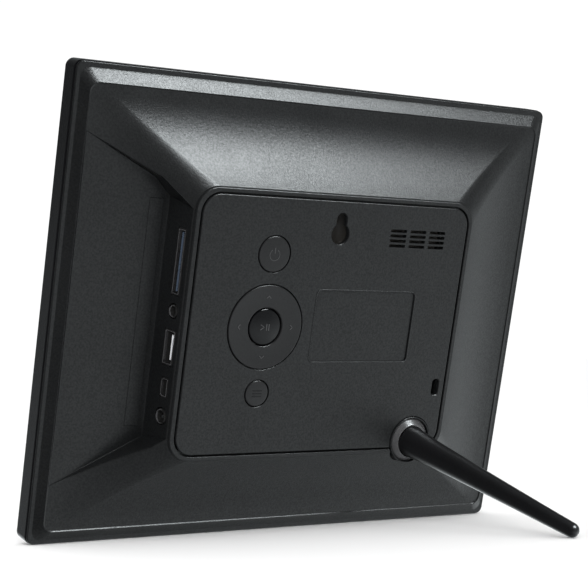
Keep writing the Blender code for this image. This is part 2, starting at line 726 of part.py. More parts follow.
def make_keys(lean):
    """Round keys and the four-way ring; their stems reach into the switches."""
    for name, z, radius in KEYS:
        add(name + "_key", key_cap(radius), key_plastic(), lean, (KEY_COLUMN, 0, z), along_y=True)
    outer = NAV_RADIUS - KEY_CLEARANCE
    bore = SELECT_RADIUS + NAV_BORE_REACH
    flange = NAV_RADIUS + NAV_FLANGE_REACH
    low, high = NAV_FLANGE
    ring = turned([
        (bore, low), (flange, low), (flange, high), (outer, high), (outer, KEY_TOP - KEY_SHOULDER),
        (outer - KEY_SHOULDER, KEY_TOP), (SELECT_RADIUS + KEY_SHOULDER, KEY_TOP - KEY_DISH),
        (SELECT_RADIUS, KEY_TOP - KEY_SHOULDER - KEY_DISH), (SELECT_RADIUS, NAV_SKIRT), (bore, NAV_SKIRT),
    ], 48)
    at = (KEY_COLUMN, 0, NAV_Z)
    nav = add("nav_ring", ring, key_plastic(), lean, at, along_y=True)
    turns = [math.pi / 2 * quarter for quarter in range(4)]
    offsets = [(NAV_SWITCH_OFFSET * math.cos(a), NAV_SWITCH_OFFSET * math.sin(a), 0) for a in turns]
    stems = several(*[drum(STEM_RADIUS, *NAV_STEM_LEVEL, 12, place) for place in offsets])
    combine(nav, cutter("nav_stem_tool", stems, lean, at, along_y=True), "UNION")
    web = material("spring_rubber", (0.25, 0.26, 0.27), 0.7)
    add("nav_gimbal", sleeve(*GIMBAL_RADII, *GIMBAL_LEVEL, 40), web, lean, at, along_y=True)
    places = {"power": (0, POWER_Z), "select": (0, NAV_Z), "menu": (0, MENU_Z)}
    for name, (x, z, _) in zip(("left", "down", "right", "up"), offsets):
        places[name] = (x, NAV_Z - z)
    outside = rounded_outline(centred_box(0, 0, SWITCH_SIZE, SWITCH_SIZE), 0.5, 2)
    hole = rounded_outline(centred_box(0, 0, SWITCH_HOLE, SWITCH_HOLE), SWITCH_HOLE / 2 - 0.01, 2)
    switch = frame_plate(outside, hole, KEY_BOARD_LEVEL[1] + GAP, SWITCH_TOP)
    for name, (x, z) in places.items():
        add("tact_switch_" + name, switch, dark_plastic(), lean, (KEY_COLUMN + x, 0, z))


# Boards, sockets and sound


def chip(row):
    """A flat package hanging under the main board: row is (x0, x1, z0, z1, thickness)."""
    x0, x1, z0, z1, thickness = row
    return block(x0, x1, CHIP_LEVEL - thickness, CHIP_LEVEL, z0, z1)


def make_boards(lean):
    board = add("main_board", plate(rounded_outline(BOARD, 1.5, 2), *BOARD_LEVEL), board_green(), lean)
    low, high = BOARD_LEVEL[0] - 1, BOARD_LEVEL[1] + 1
    holes = several(*[drum(PILOT_RADIUS, low, high, 10, (x, -z, 0)) for x, z in BOARD_POSTS])
    combine(board, cutter("board_hole_tool", holes, lean, along_y=True))
    keys = add("key_board", plate(rounded_outline(KEY_BOARD, 1.0, 2), *KEY_BOARD_LEVEL), board_green(), lean)
    low, high = KEY_BOARD_LEVEL[0] - 1, KEY_BOARD_LEVEL[1] + 1
    holes = several(*[drum(PILOT_RADIUS, low, high, 10, (x, -z, 0)) for x, z in KEY_POSTS])
    combine(keys, cutter("key_board_hole_tool", holes, lean, along_y=True))
    epoxy = material("chip_epoxy", (0.015, 0.015, 0.017), 0.6)
    add("processor_chip", chip(PROCESSOR), epoxy, lean)
    add("memory_chip", chip(MEMORY), epoxy, lean)
    add("power_inductor", chip(INDUCTOR), epoxy, lean)
    add("ribbon_socket", chip(RIBBON_SOCKET), dark_plastic(), lean)
    can = material("capacitor_can", (0.5, 0.5, 0.52), 0.35, 1.0)
    x, z, radius, tall = CAPACITOR
    body = drum(radius, CHIP_LEVEL - tall, CHIP_LEVEL, 16)
    add("smoothing_capacitor", body, can, lean, (x, 0, z), along_y=True)
    add("lcd_ribbon", ribbon(RIBBON_SPAN), material("ribbon_film", (0.75, 0.73, 0.66), 0.5), lean)
    add_screws("key_board_screw", KEY_POSTS, KEY_BOARD_LEVEL[0] - GAP, 4.0, lean)
    add_screws("main_board_screw", BOARD_POSTS, BOARD_LEVEL[0] - GAP, 4.2, lean)


def ribbon(span):
    """Flat film cable: from the display tray it turns back over itself to the board's socket."""
    low = MODULE_BACK + GAP + 0.1
    high = CHIP_LEVEL - RIBBON_SOCKET[4] - 0.4
    bend = (high - low) / 2
    steps = 10

    def side(offset):
        points = [(RIBBON_START, low + offset), (RIBBON_TURN, low + offset)]
        radius = bend - offset
        for step in range(1, steps):
            angle = -math.pi / 2 + math.pi * step / steps
            points.append((RIBBON_TURN + radius * math.cos(angle), low + bend + radius * math.sin(angle)))
        points += [(RIBBON_TURN, high - offset), (RIBBON_END, high - offset)]
        return points

    def build(shape):
        section = side(0.0) + side(RIBBON_THICKNESS)[::-1]
        loft(shape, [[(x, y, z) for z, y in section] for x in span])
    return build


def tongue(x0, x1, levels, z, width):
    low, high = (PORT_LEVEL + offset for offset in levels)
    return block(x0, x1, low, high, z - width / 2, z + width / 2)


def make_ports(lean):
    z, width, height = CARD_PORT
    add("card_socket", shell_box(CARD_BACK, PORT_FACE, z, width, height, SHEET), steel(), lean)
    contacts = tongue(CARD_BACK + 1.5, PORT_FACE - 6, CARD_CONTACT_LEVEL, z, width - 4)
    add("card_contacts", contacts, dark_plastic(), lean)
    z, width, height = USB_PORT
    add("usb_socket", shell_box(USB_BACK, PORT_FACE, z, width, height, SHEET), steel(), lean)
    white = material("tongue_white", (0.75, 0.76, 0.78), 0.5)
    add("usb_tongue", tongue(USB_BACK + 1.5, PORT_FACE - 1.2, USB_TONGUE_LEVEL, z, width - 2.5), white, lean)
    z, width, height = MINI_PORT
    add("mini_usb_socket", shell_box(MINI_BACK, PORT_FACE, z, width, height, SHEET), steel(), lean)
    bar = tongue(MINI_BACK + 1.0, PORT_FACE - 1.0, MINI_TONGUE_LEVEL, z, width - 2.6)
    add("mini_usb_tongue", bar, dark_plastic(), lean)
    front = TROUGH_END[0] - WALL - 1.0
    back, top = JACK_BODY
    jacks = (("headphone_jack", PHONE_PORT_Z, PHONE_JACK), ("power_jack", POWER_PORT_Z, POWER_JACK))
    for name, z, (radius, bore) in jacks:
        body = block(back, front, BOARD_LEVEL[1] + GAP, top, z - JACK_HALF_WIDTH, z + JACK_HALF_WIDTH)
        jack = add(name, body, dark_plastic(), lean)
        combine(jack, cutter(name + "_nose_tool", barrel(radius, front - 1, PORT_FACE, z), lean), "UNION")
        combine(jack, cutter(name + "_bore_tool", barrel(bore, JACK_BORE_END, PORT_FACE + 1, z), lean))
    pin = barrel(POWER_PIN_RADIUS, JACK_BORE_END + GAP, PORT_FACE - 1.5, POWER_PORT_Z, steps=12)
    add("power_jack_pin", pin, steel(), lean)


def shell_box(x0, x1, z, width, height, thickness):
    """A sheet-metal socket shell, closed behind and open at the port face x1."""
    def build(shape):
        half_z, half_y = width / 2, height / 2
        outer = [(PORT_LEVEL - half_y, z - half_z), (PORT_LEVEL + half_y, z - half_z),
                 (PORT_LEVEL + half_y, z + half_z), (PORT_LEVEL - half_y, z + half_z)]
        half_z -= thickness
        half_y -= thickness
        inner = [(PORT_LEVEL - half_y, z - half_z), (PORT_LEVEL + half_y, z - half_z),
                 (PORT_LEVEL + half_y, z + half_z), (PORT_LEVEL - half_y, z + half_z)]
        stations = ((outer, x0), (outer, x1), (inner, x1), (inner, x0 + thickness))
        loft(shape, [[(x, y, zz) for y, zz in points] for points, x in stations])
    return build


def grille_outline(size):
    width, height, radius = size
    return rounded_outline(centred_box(*GRILLE, width, height), radius, 6)


def make_sound(lean):
    """A flat oval speaker behind the grille."""
    top = LEDGE_LEVEL
    outside, rim, floor, inside = (
        grille_outline(size) for size in (BASKET_OUTSIDE, BASKET_RIM, BASKET_FLOOR, BASKET_INSIDE)
    )
    under, bottom, shoulder, seat = BASKET_LEVELS

    def basket(shape):
        loft(shape, [
            layer(inside, bottom), layer(rim, seat), layer(rim, top), layer(outside, top),
            layer(outside, shoulder), layer(floor, under),
        ])

    add("speaker_basket", basket, dark_plastic(), lean)
    lip, dish = grille_outline(CONE_RIM), grille_outline(CONE_DISH)
    dish_back, dish_front, lip_back, lip_front = CONE_LEVELS

    def cone(shape):
        loft(shape, [
            layer(dish, dish_back), layer(lip, lip_back), layer(lip, lip_front), layer(dish, dish_front),
        ])

    add("speaker_cone", cone, material("speaker_paper", (0.05, 0.045, 0.04), 0.8), lean)
    magnet = drum(MAGNET_RADIUS, *MAGNET_LEVEL, 24, (GRILLE[0], -GRILLE[1], 0))
    add("speaker_magnet", magnet, steel(), lean, along_y=True)


def make_cups(lean):
    """Cup behind the keyhole, and the steel plate behind the lock slot."""
    x, z = KEYHOLE
    box = centred_box(x, z + CUP_RISE, *CUP_SIZE)
    outside = rounded_outline(box, CUP_RADIUS, 4)
    inside = rounded_outline(inset_box(box, CUP_WALL), CUP_RADIUS - CUP_WALL, 4)
    under, floor = CUP_LEVEL

    def cup(shape):
        loft(shape, [
            layer(inside, floor), layer(inside, LEDGE_LEVEL), layer(outside, LEDGE_LEVEL),
            layer(outside, under),
        ])

    add("keyhole_cup", cup, dark_plastic(), lean)
    plate_box = centred_box(LOCK_SLOT[0] + LOCK_PLATE_SHIFT, LOCK_SLOT[1], *LOCK_PLATE_SIZE)
    outer = rounded_outline(plate_box, 1.2, 3)
    slot = rounded_outline(centred_box(*LOCK_SLOT, *LOCK_SIZE), LOCK_RADIUS, 3)
    front = LEDGE_UNDER - GAP
    add("lock_plate", frame_plate(outer, slot, front - LOCK_PLATE_THICKNESS, front), steel(), lean)


# Leg and socket


def leg_frame():
    """Rotation whose z runs out along the leg, in the frame's own coordinates."""
    along = Vector((
        -math.sin(LEG_TILT) * math.cos(LEG_HEADING),
        math.cos(LEG_TILT),
        -math.sin(LEG_TILT) * math.sin(LEG_HEADING),
    ))
    side = Vector((1, 0, 0)).cross(along).normalized()
    across = side.cross(along)
    return Matrix((across, side, along)).transposed()


def leg_length():
    """Length from the root point to the tip's centre, so that the tip touches the ground."""
    tip = Matrix.Rotation(-LEAN, 3, "X")
    drop = (tip @ leg_frame().col[2]).z
    root = (tip @ LEG_ROOT).z + BEZEL_DEPTH * math.sin(LEAN)
    return (root - LEG_TIP_RADIUS) / -drop


def make_socket(lean, axis):
    level = LEDGE_UNDER - GAP
    under = level - SOCKET_PLATE_THICKNESS
    plate_shape = plate(rounded_outline(SOCKET_PLATE, 4.0, 4), under, level)
    socket = add("leg_socket", plate_shape, housing_plastic(), lean)
    r = SOCKET_RADIUS
    at = (SOCKET[0], 0, SOCKET[1])
    foot = under + COVER_EDGE
    inner = r - BOSS_RIM
    rim = DEPTH + BOSS_TOP
    recess = DEPTH - BOSS_RECESS
    boss = turned([
        (0, foot), (r, foot), (r, rim), (r - BOSS_RIM / 2, rim + GAP), (inner, rim), (inner, recess),
        (0, recess),
    ], 48)
    combine(socket, cutter("boss_tool", boss, lean, at, along_y=True), "UNION")
    combine(socket, cutter("stem_tool", drum(SOCKET_STEM_RADIUS, *STEM_LEVEL, 24), axis), "UNION")
    bore_radius, bore_end, bore_top = SOCKET_BORE
    seat = LEG_ROOT_RADIUS + LEG_CLEARANCE
    reach = SOCKET_RADIUS
    bore = turned([
        (0, bore_end), (bore_radius, bore_end), (bore_radius, bore_top), (seat, bore_top),
        (seat, reach), (0, reach),
    ], 32)
    combine(socket, cutter("socket_bore_tool", bore, axis))
    holes = several(*[drum(SCREW_PILOT, under - 1, level + 1, 10, (x, -z, 0)) for x, z in SOCKET_SCREWS])
    combine(socket, cutter("socket_screw_tool", holes, lean, along_y=True))
    outer = inner - GAP
    cone = turned([
        (0, DEPTH - FERRULE_FOOT), (outer, DEPTH - FERRULE_FOOT), (outer, DEPTH - FERRULE_RIM),
        (seat + 0.5, DEPTH + FERRULE_TOP), (0, DEPTH + FERRULE_TOP),
    ], 48)
    finish = material("satin_metal", (0.32, 0.33, 0.34), 0.28, 1.0)
    ferrule = add("leg_ferrule", cone, finish, lean, at, along_y=True)
    combine(ferrule, cutter("ferrule_bore_tool", drum(seat, -reach, reach, 40), axis))
    brass = material("brass", (0.75, 0.56, 0.25), 0.3, 1.0)
    insert = sleeve(STUD_RADIUS + LEG_CLEARANCE, INSERT_RADIUS, *INSERT_LEVEL, 24)
    add("threaded_insert", insert, brass, axis)
    add_screws("socket_screw", SOCKET_SCREWS, under - GAP, 3.4, lean)


def make_leg(axis):
    length = leg_length()
    root, tip = LEG_ROOT_RADIUS, LEG_TIP_RADIUS
    foot = -LEG_INSIDE
    profile = [(0, foot), (root - GAP, foot), (root, foot + GAP), (root, LEG_COLLAR)]
    tapers = 8
    for step in range(1, tapers + 1):
        share = step / tapers
        profile.append((mix(root, tip, share ** LEG_TAPER_POWER), mix(LEG_COLLAR, length, share)))
    rounds = 6
    for step in range(1, rounds):
        angle = math.pi / 2 * step / rounds
        profile.append((tip * math.cos(angle), length + tip * math.sin(angle)))
    profile.append((0, length + tip))
    black = material("leg_plastic", (0.012, 0.012, 0.013), 0.4)
    add("support_leg", turned(profile, 32), black, axis)
    top = foot - GAP
    end = top - STUD_LENGTH
    stud = turned([
        (0, end), (STUD_RADIUS - STUD_LEAD, end), (STUD_RADIUS, end + STUD_LEAD), (STUD_RADIUS, top),
        (0, top),
    ], 20)
    add("leg_stud", stud, steel(), axis)


def object_depth():
    """Front-to-back reach of the leaning frame with its leg."""
    turn = Matrix.Rotation(-LEAN, 3, "X")
    tip = turn @ (LEG_ROOT + leg_frame().col[2] * leg_length())
    return tip.y + LEG_TIP_RADIUS


def main():
    clear_scene()
    front_reach = FRONT_CHAMFER * math.sin(LEAN)
    place = (0, -(object_depth() + front_reach) / 2, BEZEL_DEPTH * math.sin(LEAN))
    lean = empty("lean", place, Matrix.Rotation(-LEAN, 3, "X"))
    axis = empty("leg_axis", LEG_ROOT, leg_frame(), lean)
    make_bezel(lean)
    make_display(lean)
    make_housing(lean)
    make_cover(lean)
    make_keys(lean)
    make_boards(lean)
    make_ports(lean)
    make_sound(lean)
    make_cups(lean)
    make_socket(lean, axis)
    make_leg(axis)


main()
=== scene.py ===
import json
import math

import bmesh
import bpy
from mathutils import Matrix, Vector

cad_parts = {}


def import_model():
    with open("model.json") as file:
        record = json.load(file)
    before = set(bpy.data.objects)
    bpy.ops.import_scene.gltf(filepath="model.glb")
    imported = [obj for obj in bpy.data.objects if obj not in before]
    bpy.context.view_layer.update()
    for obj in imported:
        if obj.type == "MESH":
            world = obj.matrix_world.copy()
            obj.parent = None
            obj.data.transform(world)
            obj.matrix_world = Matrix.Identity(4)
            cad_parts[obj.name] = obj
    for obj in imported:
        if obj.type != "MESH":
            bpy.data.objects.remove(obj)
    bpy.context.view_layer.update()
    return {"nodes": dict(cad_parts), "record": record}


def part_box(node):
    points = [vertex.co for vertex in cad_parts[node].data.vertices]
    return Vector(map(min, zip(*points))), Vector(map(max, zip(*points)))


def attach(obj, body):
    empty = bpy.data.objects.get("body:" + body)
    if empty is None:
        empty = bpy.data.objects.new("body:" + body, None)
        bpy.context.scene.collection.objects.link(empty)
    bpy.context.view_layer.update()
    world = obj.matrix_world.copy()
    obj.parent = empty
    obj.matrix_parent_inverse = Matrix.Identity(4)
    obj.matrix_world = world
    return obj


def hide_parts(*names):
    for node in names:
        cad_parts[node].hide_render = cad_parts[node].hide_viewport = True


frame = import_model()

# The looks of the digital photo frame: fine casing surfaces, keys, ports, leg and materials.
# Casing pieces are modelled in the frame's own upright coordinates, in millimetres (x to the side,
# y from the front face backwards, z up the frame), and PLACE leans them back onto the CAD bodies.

MM = 0.001
FLOOR_SIZE = 20.0
FLOOR_DROP = 0.0001
COOL = (0.94, 1.0, 1.02)

# Driving dimensions, as in the CAD
WIDTH = 220.0
HEIGHT = 180.0
DEPTH = 27.0
BEZEL_DEPTH = 9.1
LEAN = math.radians(13.6)
GAP = 0.3
WALL = 2.2
CORNER_RADIUS = 3.2
OUTER = (-WIDTH / 2, WIDTH / 2, 0.0, HEIGHT)
PILOT_RADIUS = 1.15
SCREW_PILOT = 1.1
POST_RADIUS = 2.6

# Bezel: its window, and the posts for the strips that hold the display
FRONT_CHAMFER = 1.2
BEZEL_FACE = 2.2
BEZEL_REAR_ROUND = 0.9
WINDOW = (162.6, 122.4)
WINDOW_ROUND = (1.5, 1.6)
MODULE_BACK = 7.4
BRACKET_X = 84.0
BRACKET_POST_INSET = 11.5

# Housing skin: outer lip, hollow chamfer up to the crest, hollow slope, plateau.
# The crest lies closer to the sides than to the top: CREST_SHIFT is for x0, x1, z0 and z1.
LIP_LEVEL = 10.1
LIP_ROUND = 0.4
CHAMFER_FOOT = 2.2
CHAMFER_TOP = (6.0, 12.6)
CHAMFER_START_SLOPE = 0.55
CREST_SHIFT = (-0.9, -0.9, -0.4, 1.1)
CREST_RADIUS = 4.0
CREST_WIDTH = 0.45
SLOPE_INSET = 6.6
SLOPE_FOOT = 12.25
SLOPE_POWER = 1.7
PLATEAU = (-66.0, 64.6, 35.4, 140.6)
PLATEAU_RADIUS = 9.5
EDGE_ROUND = 0.8
EDGE_START = math.radians(54.0)

# Cover panel, and the pocket and ledge it lies in
COVER = (-63.1, 61.6, 37.9, 137.9)
COVER_RADIUS = 7.5
COVER_THICKNESS = 2.0
GROOVE = 0.6
LEDGE = 3.5
LEDGE_THICKNESS = 1.8
COVER_BACK = DEPTH - COVER_THICKNESS
LEDGE_LEVEL = COVER_BACK - GAP
LEDGE_UNDER = LEDGE_LEVEL - LEDGE_THICKNESS
COVER_EDGE = 0.55
SIDE_RELIEF = (45.6, 129.6)

# Port trough, its floor strip and the ports: (place along z, size along z, size along y) for a
# socket, and (radius of the wall's hole, radius inside the bright rim) for a jack
TROUGH_FLOOR = 12.05
TROUGH_MOUTH = (103.5, 24.0, 155.0)
TROUGH_END = (65.0, 43.0, 136.0)
PORT_WALL_DRAFT = math.radians(10.0)
PORT_LEVEL = 21.4
WALL_BLEND = 0.9
RIM_BLEND = 0.25
RING_TURN_X = 70.5
STRIP = (70.0, 76.0, 46.0, 133.0)
STRIP_HEIGHT = 0.3
STRIP_BEVEL = 0.25
PORT_CLEARANCE = 0.35
PORT_HOLE = (-7.0, 6.0)
CARD_PORT = (111.0, 24.6, 4.2)
PHONE_PORT_Z = 92.4
USB_PORT = (78.6, 13.1, 5.7)
MINI_PORT = (63.2, 7.2, 3.8)
POWER_PORT_Z = 52.1
PHONE_JACK = (2.6, 2.05)
POWER_JACK = (3.1, 2.5)
PORT_INSET = 0.9
MINI_CUT = 1.0
SLEEVE_SEAT = 0.3
SLEEVE_DEPTH = 6.6
RIM_SHEET = 0.16
RIM_DEPTH = 0.6
RIM_PROUD = 0.1
CONTACT_PITCH = 2.4
CONTACT_WIDTH = 1.1
PIN_RADIUS = 0.7
PIN_LENGTH = 4.6

# Keys, and how they reach down to the switches
KEY_COLUMN = 28.3
POWER_Z = 116.2
NAV_Z = 87.9
MENU_Z = 61.8
POWER_RADIUS = 7.3
NAV_RADIUS = 16.8
SELECT_RADIUS = 7.5
MENU_RADIUS = 5.5
KEY_CLEARANCE = 0.35
KEY_TOP = 27.2
KEY_CROWN = 0.12
SELECT_CROWN = 0.5
KEY_SHOULDER = 0.45
KEY_FLANGE = (24.0, 24.5)
KEY_FLANGE_REACH = 0.8
KEY_STEM_FOOT = 22.0
STEM_RADIUS = 1.5
NAV_FLANGE = (23.9, 24.3)
NAV_FLANGE_REACH = 0.9
NAV_BORE_REACH = 1.2
NAV_SKIRT = 25.3
NAV_SHOULDER = 0.45
NAV_LIP = 0.5
NAV_DISH = 0.28
NAV_STEM_LEVEL = (22.2, 24.1)
NAV_SWITCH_OFFSET = 10.3
MARK_LINE = 0.25
MARK_SINK = 0.2

# Other openings of the cover
KEYHOLE = (-0.7, 125.0)
KEYHOLE_RADIUS = 4.0
KEYHOLE_HALF_SLOT = 2.3
KEYHOLE_TOP = 8.2
CUP_SIZE = (13.0, 17.0)
CUP_RISE = 1.5
CUP_RADIUS = 4.0
CUP_WALL = 1.0
CUP_FLOOR = 20.6
CUP_CURVE = 3.6
GRILLE = (-38.4, 124.5)
GRILLE_PITCH = (9.7, 2.0)
GRILLE_SLOT = (7.9, 1.2)
LABEL_RECESS = (-41.2, 6.3, 74.3, 102.6)
LABEL_RADIUS = 1.8
LABEL_DEPTH = 0.5
LABEL_RIM = 0.15
LOCK_SLOT = (-58.7, 63.3)
LOCK_SIZE = (3.3, 6.6)
LOCK_RADIUS = 1.3

# Leg, its socket and the satin cone
SOCKET = (-49.3, 41.0)
SOCKET_RADIUS = 9.9
LEG_ROOT = Vector((-49.4, 28.5, 40.6))
LEG_TILT = math.radians(23.3)
LEG_HEADING = math.radians(30.0)
LEG_ROOT_RADIUS = 6.2
LEG_TIP_RADIUS = 3.0
LEG_INSIDE = 2.5
LEG_COLLAR = 2.0
LEG_TAPER_POWER = 0.7
LEG_EDGE = 0.35
LEG_SEAT = LEG_ROOT_RADIUS + 0.4
STUD_RADIUS = 2.45
STUD_LENGTH = 9.2
THREAD_PITCH = 0.8
THREAD_DEPTH = 0.45
BEAD_RADIUS = 0.38
BOSS_RECESS = 1.2
BOSS_FOOT = 1.4
SOCKET_PLATE = (-62.9, -34.0, 38.4, 55.2)
SOCKET_PLATE_THICKNESS = 1.8
SOCKET_SCREWS = [(-61.6, 52.8), (-36.5, 39.9)]
STEM_SHAFT = (6.6, -15.4, -6.6)
SOCKET_BORE = (4.3, -14.2, -3.3)
CONE_EDGE = 0.75 + GAP

# Circuit boards, which the cover's posts carry
BOARD_LEVEL = (16.2, 17.8)
KEY_BOARD_LEVEL = (19.9, 21.1)
KEY_POSTS = [(KEY_COLUMN - 11.8, 68.0), (KEY_COLUMN + 12.2, 108.0)]
KEY_POST_RADIUS = 2.0
BOARD_POSTS = [(55.0, 128.4), (-16.0, 128.0), (-16.0, 50.0), (46.0, 50.0)]

# The leaning frame's place in the shared frame comes from the CAD bezel's own box
bezel_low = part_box("front_bezel")[0]
PLACE = Matrix.Translation((
    0,
    bezel_low[1] - FRONT_CHAMFER * MM * math.sin(LEAN),
    BEZEL_DEPTH * MM * math.sin(LEAN),
)) @ Matrix.Rotation(-LEAN, 4, "X")


def world(x, y, z):
    """A point of the upright frame, in millimetres, as a place in the shared frame, in metres."""
    return PLACE @ (Vector((x, y, z)) * MM)


# Materials


def new_material(name):
    made = bpy.data.materials.new(name)
    made.use_nodes = True
    return made, made.node_tree, made.node_tree.nodes["Principled BSDF"]


def noise(tree, scale, detail=2.0, roughness=0.5):
    """Noise in object space, with scale in features per metre."""
    coords = tree.nodes.new("ShaderNodeTexCoord")
    texture = tree.nodes.new("ShaderNodeTexNoise")
    texture.inputs["Scale"].default_value = scale
    texture.inputs["Detail"].default_value = detail
    texture.inputs["Roughness"].default_value = roughness
    tree.links.new(coords.outputs["Object"], texture.inputs["Vector"])
    return texture.outputs["Fac"]


def ramp(tree, value, low, high, low_out, high_out):
    """Map a value between two limits to two numbers."""
    node = tree.nodes.new("ShaderNodeMapRange")
    node.inputs["From Min"].default_value = low
    node.inputs["From Max"].default_value = high
    node.inputs["To Min"].default_value = low_out
    node.inputs["To Max"].default_value = high_out
    tree.links.new(value, node.inputs["Value"])
    return node.outputs["Result"]


def blend_colours(tree, factor, first, second):
    node = tree.nodes.new("ShaderNodeMix")
    node.data_type = "RGBA"
    node.inputs["A"].default_value = (*first, 1)
    node.inputs["B"].default_value = (*second, 1)
    tree.links.new(factor, node.inputs["Factor"])
    return node.outputs["Result"]


def add_bump(tree, shader, height, strength, distance):
    bump = tree.nodes.new("ShaderNodeBump")
    bump.inputs["Strength"].default_value = strength
    bump.inputs["Distance"].default_value = distance
    tree.links.new(height, bump.inputs["Height"])
    tree.links.new(bump.outputs["Normal"], shader.inputs["Normal"])


def moulded_plastic(name, colour, roughness, grain, bump, gloss=0.5, spread=0.02, mottle=0.05):
    """Moulded plastic: fine spark-eroded grain, mottled sheen, slow colour drift and smudges."""
    made, tree, shader = new_material(name)
    flecks = ramp(tree, noise(tree, 1300.0, 2.0), 0.35, 0.65, gloss * (1 - mottle), gloss * (1 + mottle))
    tree.links.new(flecks, shader.inputs["Specular IOR Level"])
    drift = noise(tree, 35.0, 3.0)
    fine = noise(tree, grain, 4.0, 0.6)
    factor = ramp(tree, drift, 0.35, 0.65, 0.0, 1.0)
    pale = tuple(c * 1.12 for c in colour)
    dark = tuple(c * 0.9 for c in colour)
    tree.links.new(blend_colours(tree, factor, dark, pale), shader.inputs["Base Color"])
    smudge = ramp(tree, noise(tree, 90.0, 5.0, 0.65), 0.3, 0.7, roughness - spread, roughness + spread)
    tree.links.new(smudge, shader.inputs["Roughness"])
    add_bump(tree, shader, fine, bump, 0.00008)
    return made


def metal(name, colour, roughness):
    """Metal with fine grain in its colour and sheen."""
    made, tree, shader = new_material(name)
    shader.inputs["Metallic"].default_value = 1.0
    grain = noise(tree, 900.0, 4.0)
    dark = tuple(c * 0.82 for c in colour)
    tint = blend_colours(tree, ramp(tree, grain, 0.35, 0.65, 0, 1), dark, colour)
    tree.links.new(tint, shader.inputs["Base Color"])
    sheen = ramp(tree, grain, 0.3, 0.7, roughness - 0.06, roughness + 0.08)
    tree.links.new(sheen, shader.inputs["Roughness"])
    add_bump(tree, shader, grain, 0.15, 0.00003)
    return made


# Mesh helpers: shapes are built and cut upright in millimetres, then settled into the frame

UPRIGHT = Matrix.Identity(4)
SHARP_ANGLE = math.radians(40.0)


def build(name, maker, material=None, place=UPRIGHT):
    """Make a shaded object from a bmesh, still upright and in millimetres."""
    shape = bmesh.new()
    maker(shape)
    bmesh.ops.recalc_face_normals(shape, faces=shape.faces)
    bmesh.ops.transform(shape, matrix=place, verts=shape.verts)
    mesh = bpy.data.meshes.new(name)
    shape.to_mesh(mesh)
    shape.free()
    piece = bpy.data.objects.new(name, mesh)
    bpy.context.collection.objects.link(piece)
    if material:
        mesh.materials.append(material)
    mesh.shade_smooth()
    mesh.set_sharp_from_angle(angle=SHARP_ANGLE)
    return piece


def carve(piece, maker, operation="DIFFERENCE", place=UPRIGHT):
    """Apply an exact Boolean with a temporary solid."""
    carve_with(piece, build("tool", maker, place=place), operation)


def carve_with(piece, tool, operation="DIFFERENCE"):
    step = piece.modifiers.new("cut", "BOOLEAN")
    step.solver = "EXACT"
    step.operation = operation
    step.object = tool
    apply_modifiers(piece)
    bpy.data.objects.remove(tool, do_unlink=True)
    shape = bmesh.new()
    shape.from_mesh(piece.data)
    bmesh.ops.remove_doubles(shape, verts=shape.verts, dist=0.002)
    bmesh.ops.dissolve_degenerate(shape, edges=shape.edges, dist=0.001)
    shape.to_mesh(piece.data)
    shape.free()
    piece.data.set_sharp_from_angle(angle=SHARP_ANGLE)


def settle(piece, body, slot, *nodes):
    """Lean the finished piece back into the frame, ride it on its body and take over CAD nodes."""
    piece.data.transform(PLACE @ Matrix.Scale(MM, 4))
    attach(piece, body)
    if nodes:
        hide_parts(*nodes)


def even_normals(piece):
    """Let large flat faces keep their own shading beside narrow rounded ones."""
    step = piece.modifiers.new("normals", "WEIGHTED_NORMAL")
    step.mode = "FACE_AREA"
    step.weight = 100
    step.keep_sharp = True
    apply_modifiers(piece)


def apply_modifiers(piece):
    graph = bpy.context.evaluated_depsgraph_get()
    mesh = bpy.data.meshes.new_from_object(piece.evaluated_get(graph))
    old = piece.data
    piece.modifiers.clear()
    piece.data = mesh
    bpy.data.meshes.remove(old)


def arc(cx, cy, radius, start, end, steps):
    """Points on an arc, angles in degrees."""
    points = []
    for step in range(steps + 1):
        angle = math.radians(mix(start, end, step / steps))
        points.append((cx + radius * math.cos(angle), cy + radius * math.sin(angle)))
    return points


def rounded_outline(box, radius, steps=10):
    """Points (x, z) round a rectangle (x0, x1, z0, z1), as seen along +y."""
    x0, x1, z0, z1 = inset_box(box, radius)
    points = []
    for quarter, (cx, cz) in enumerate(((x1, z1), (x0, z1), (x0, z0), (x1, z0))):
        points += arc(cx, cz, radius, 90 * quarter, 90 * (quarter + 1), steps)
    return points


def inset_box(box, inset):
    x0, x1, z0, z1 = box
    return (x0 + inset, x1 - inset, z0 + inset, z1 - inset)


def centred_box(x, z, width, height):
    return (x - width / 2, x + width / 2, z - height / 2, z + height / 2)


def mix(a, b, t):
    return a + (b - a) * t


def layer(outline, y):
    return [(x, y, z) for x, z in outline]


def loft(shape, loops, closed=False):
    rings = [[shape.verts.new(point) for point in loop] for loop in loops]
    pairs = list(zip(rings, rings[1:]))
    if closed:
        pairs.append((rings[-1], rings[0]))
    for lower, upper in pairs:
        count = len(lower)
        for i in range(count):
            j = (i + 1) % count
            shape.faces.new((lower[i], lower[j], upper[j], upper[i]))
    if not closed:
        shape.faces.new(rings[0])
        shape.faces.new(rings[-1])


def plate(outline, y0, y1):
    return lambda shape: loft(shape, [layer(outline, y0), layer(outline, y1)])


def block(x0, x1, y0, y1, z0, z1):
    return plate([(x0, z0), (x1, z0), (x1, z1), (x0, z1)], y0, y1)


def several(makers):
    def run(shape):
        for maker in makers:
            maker(shape)
    return run


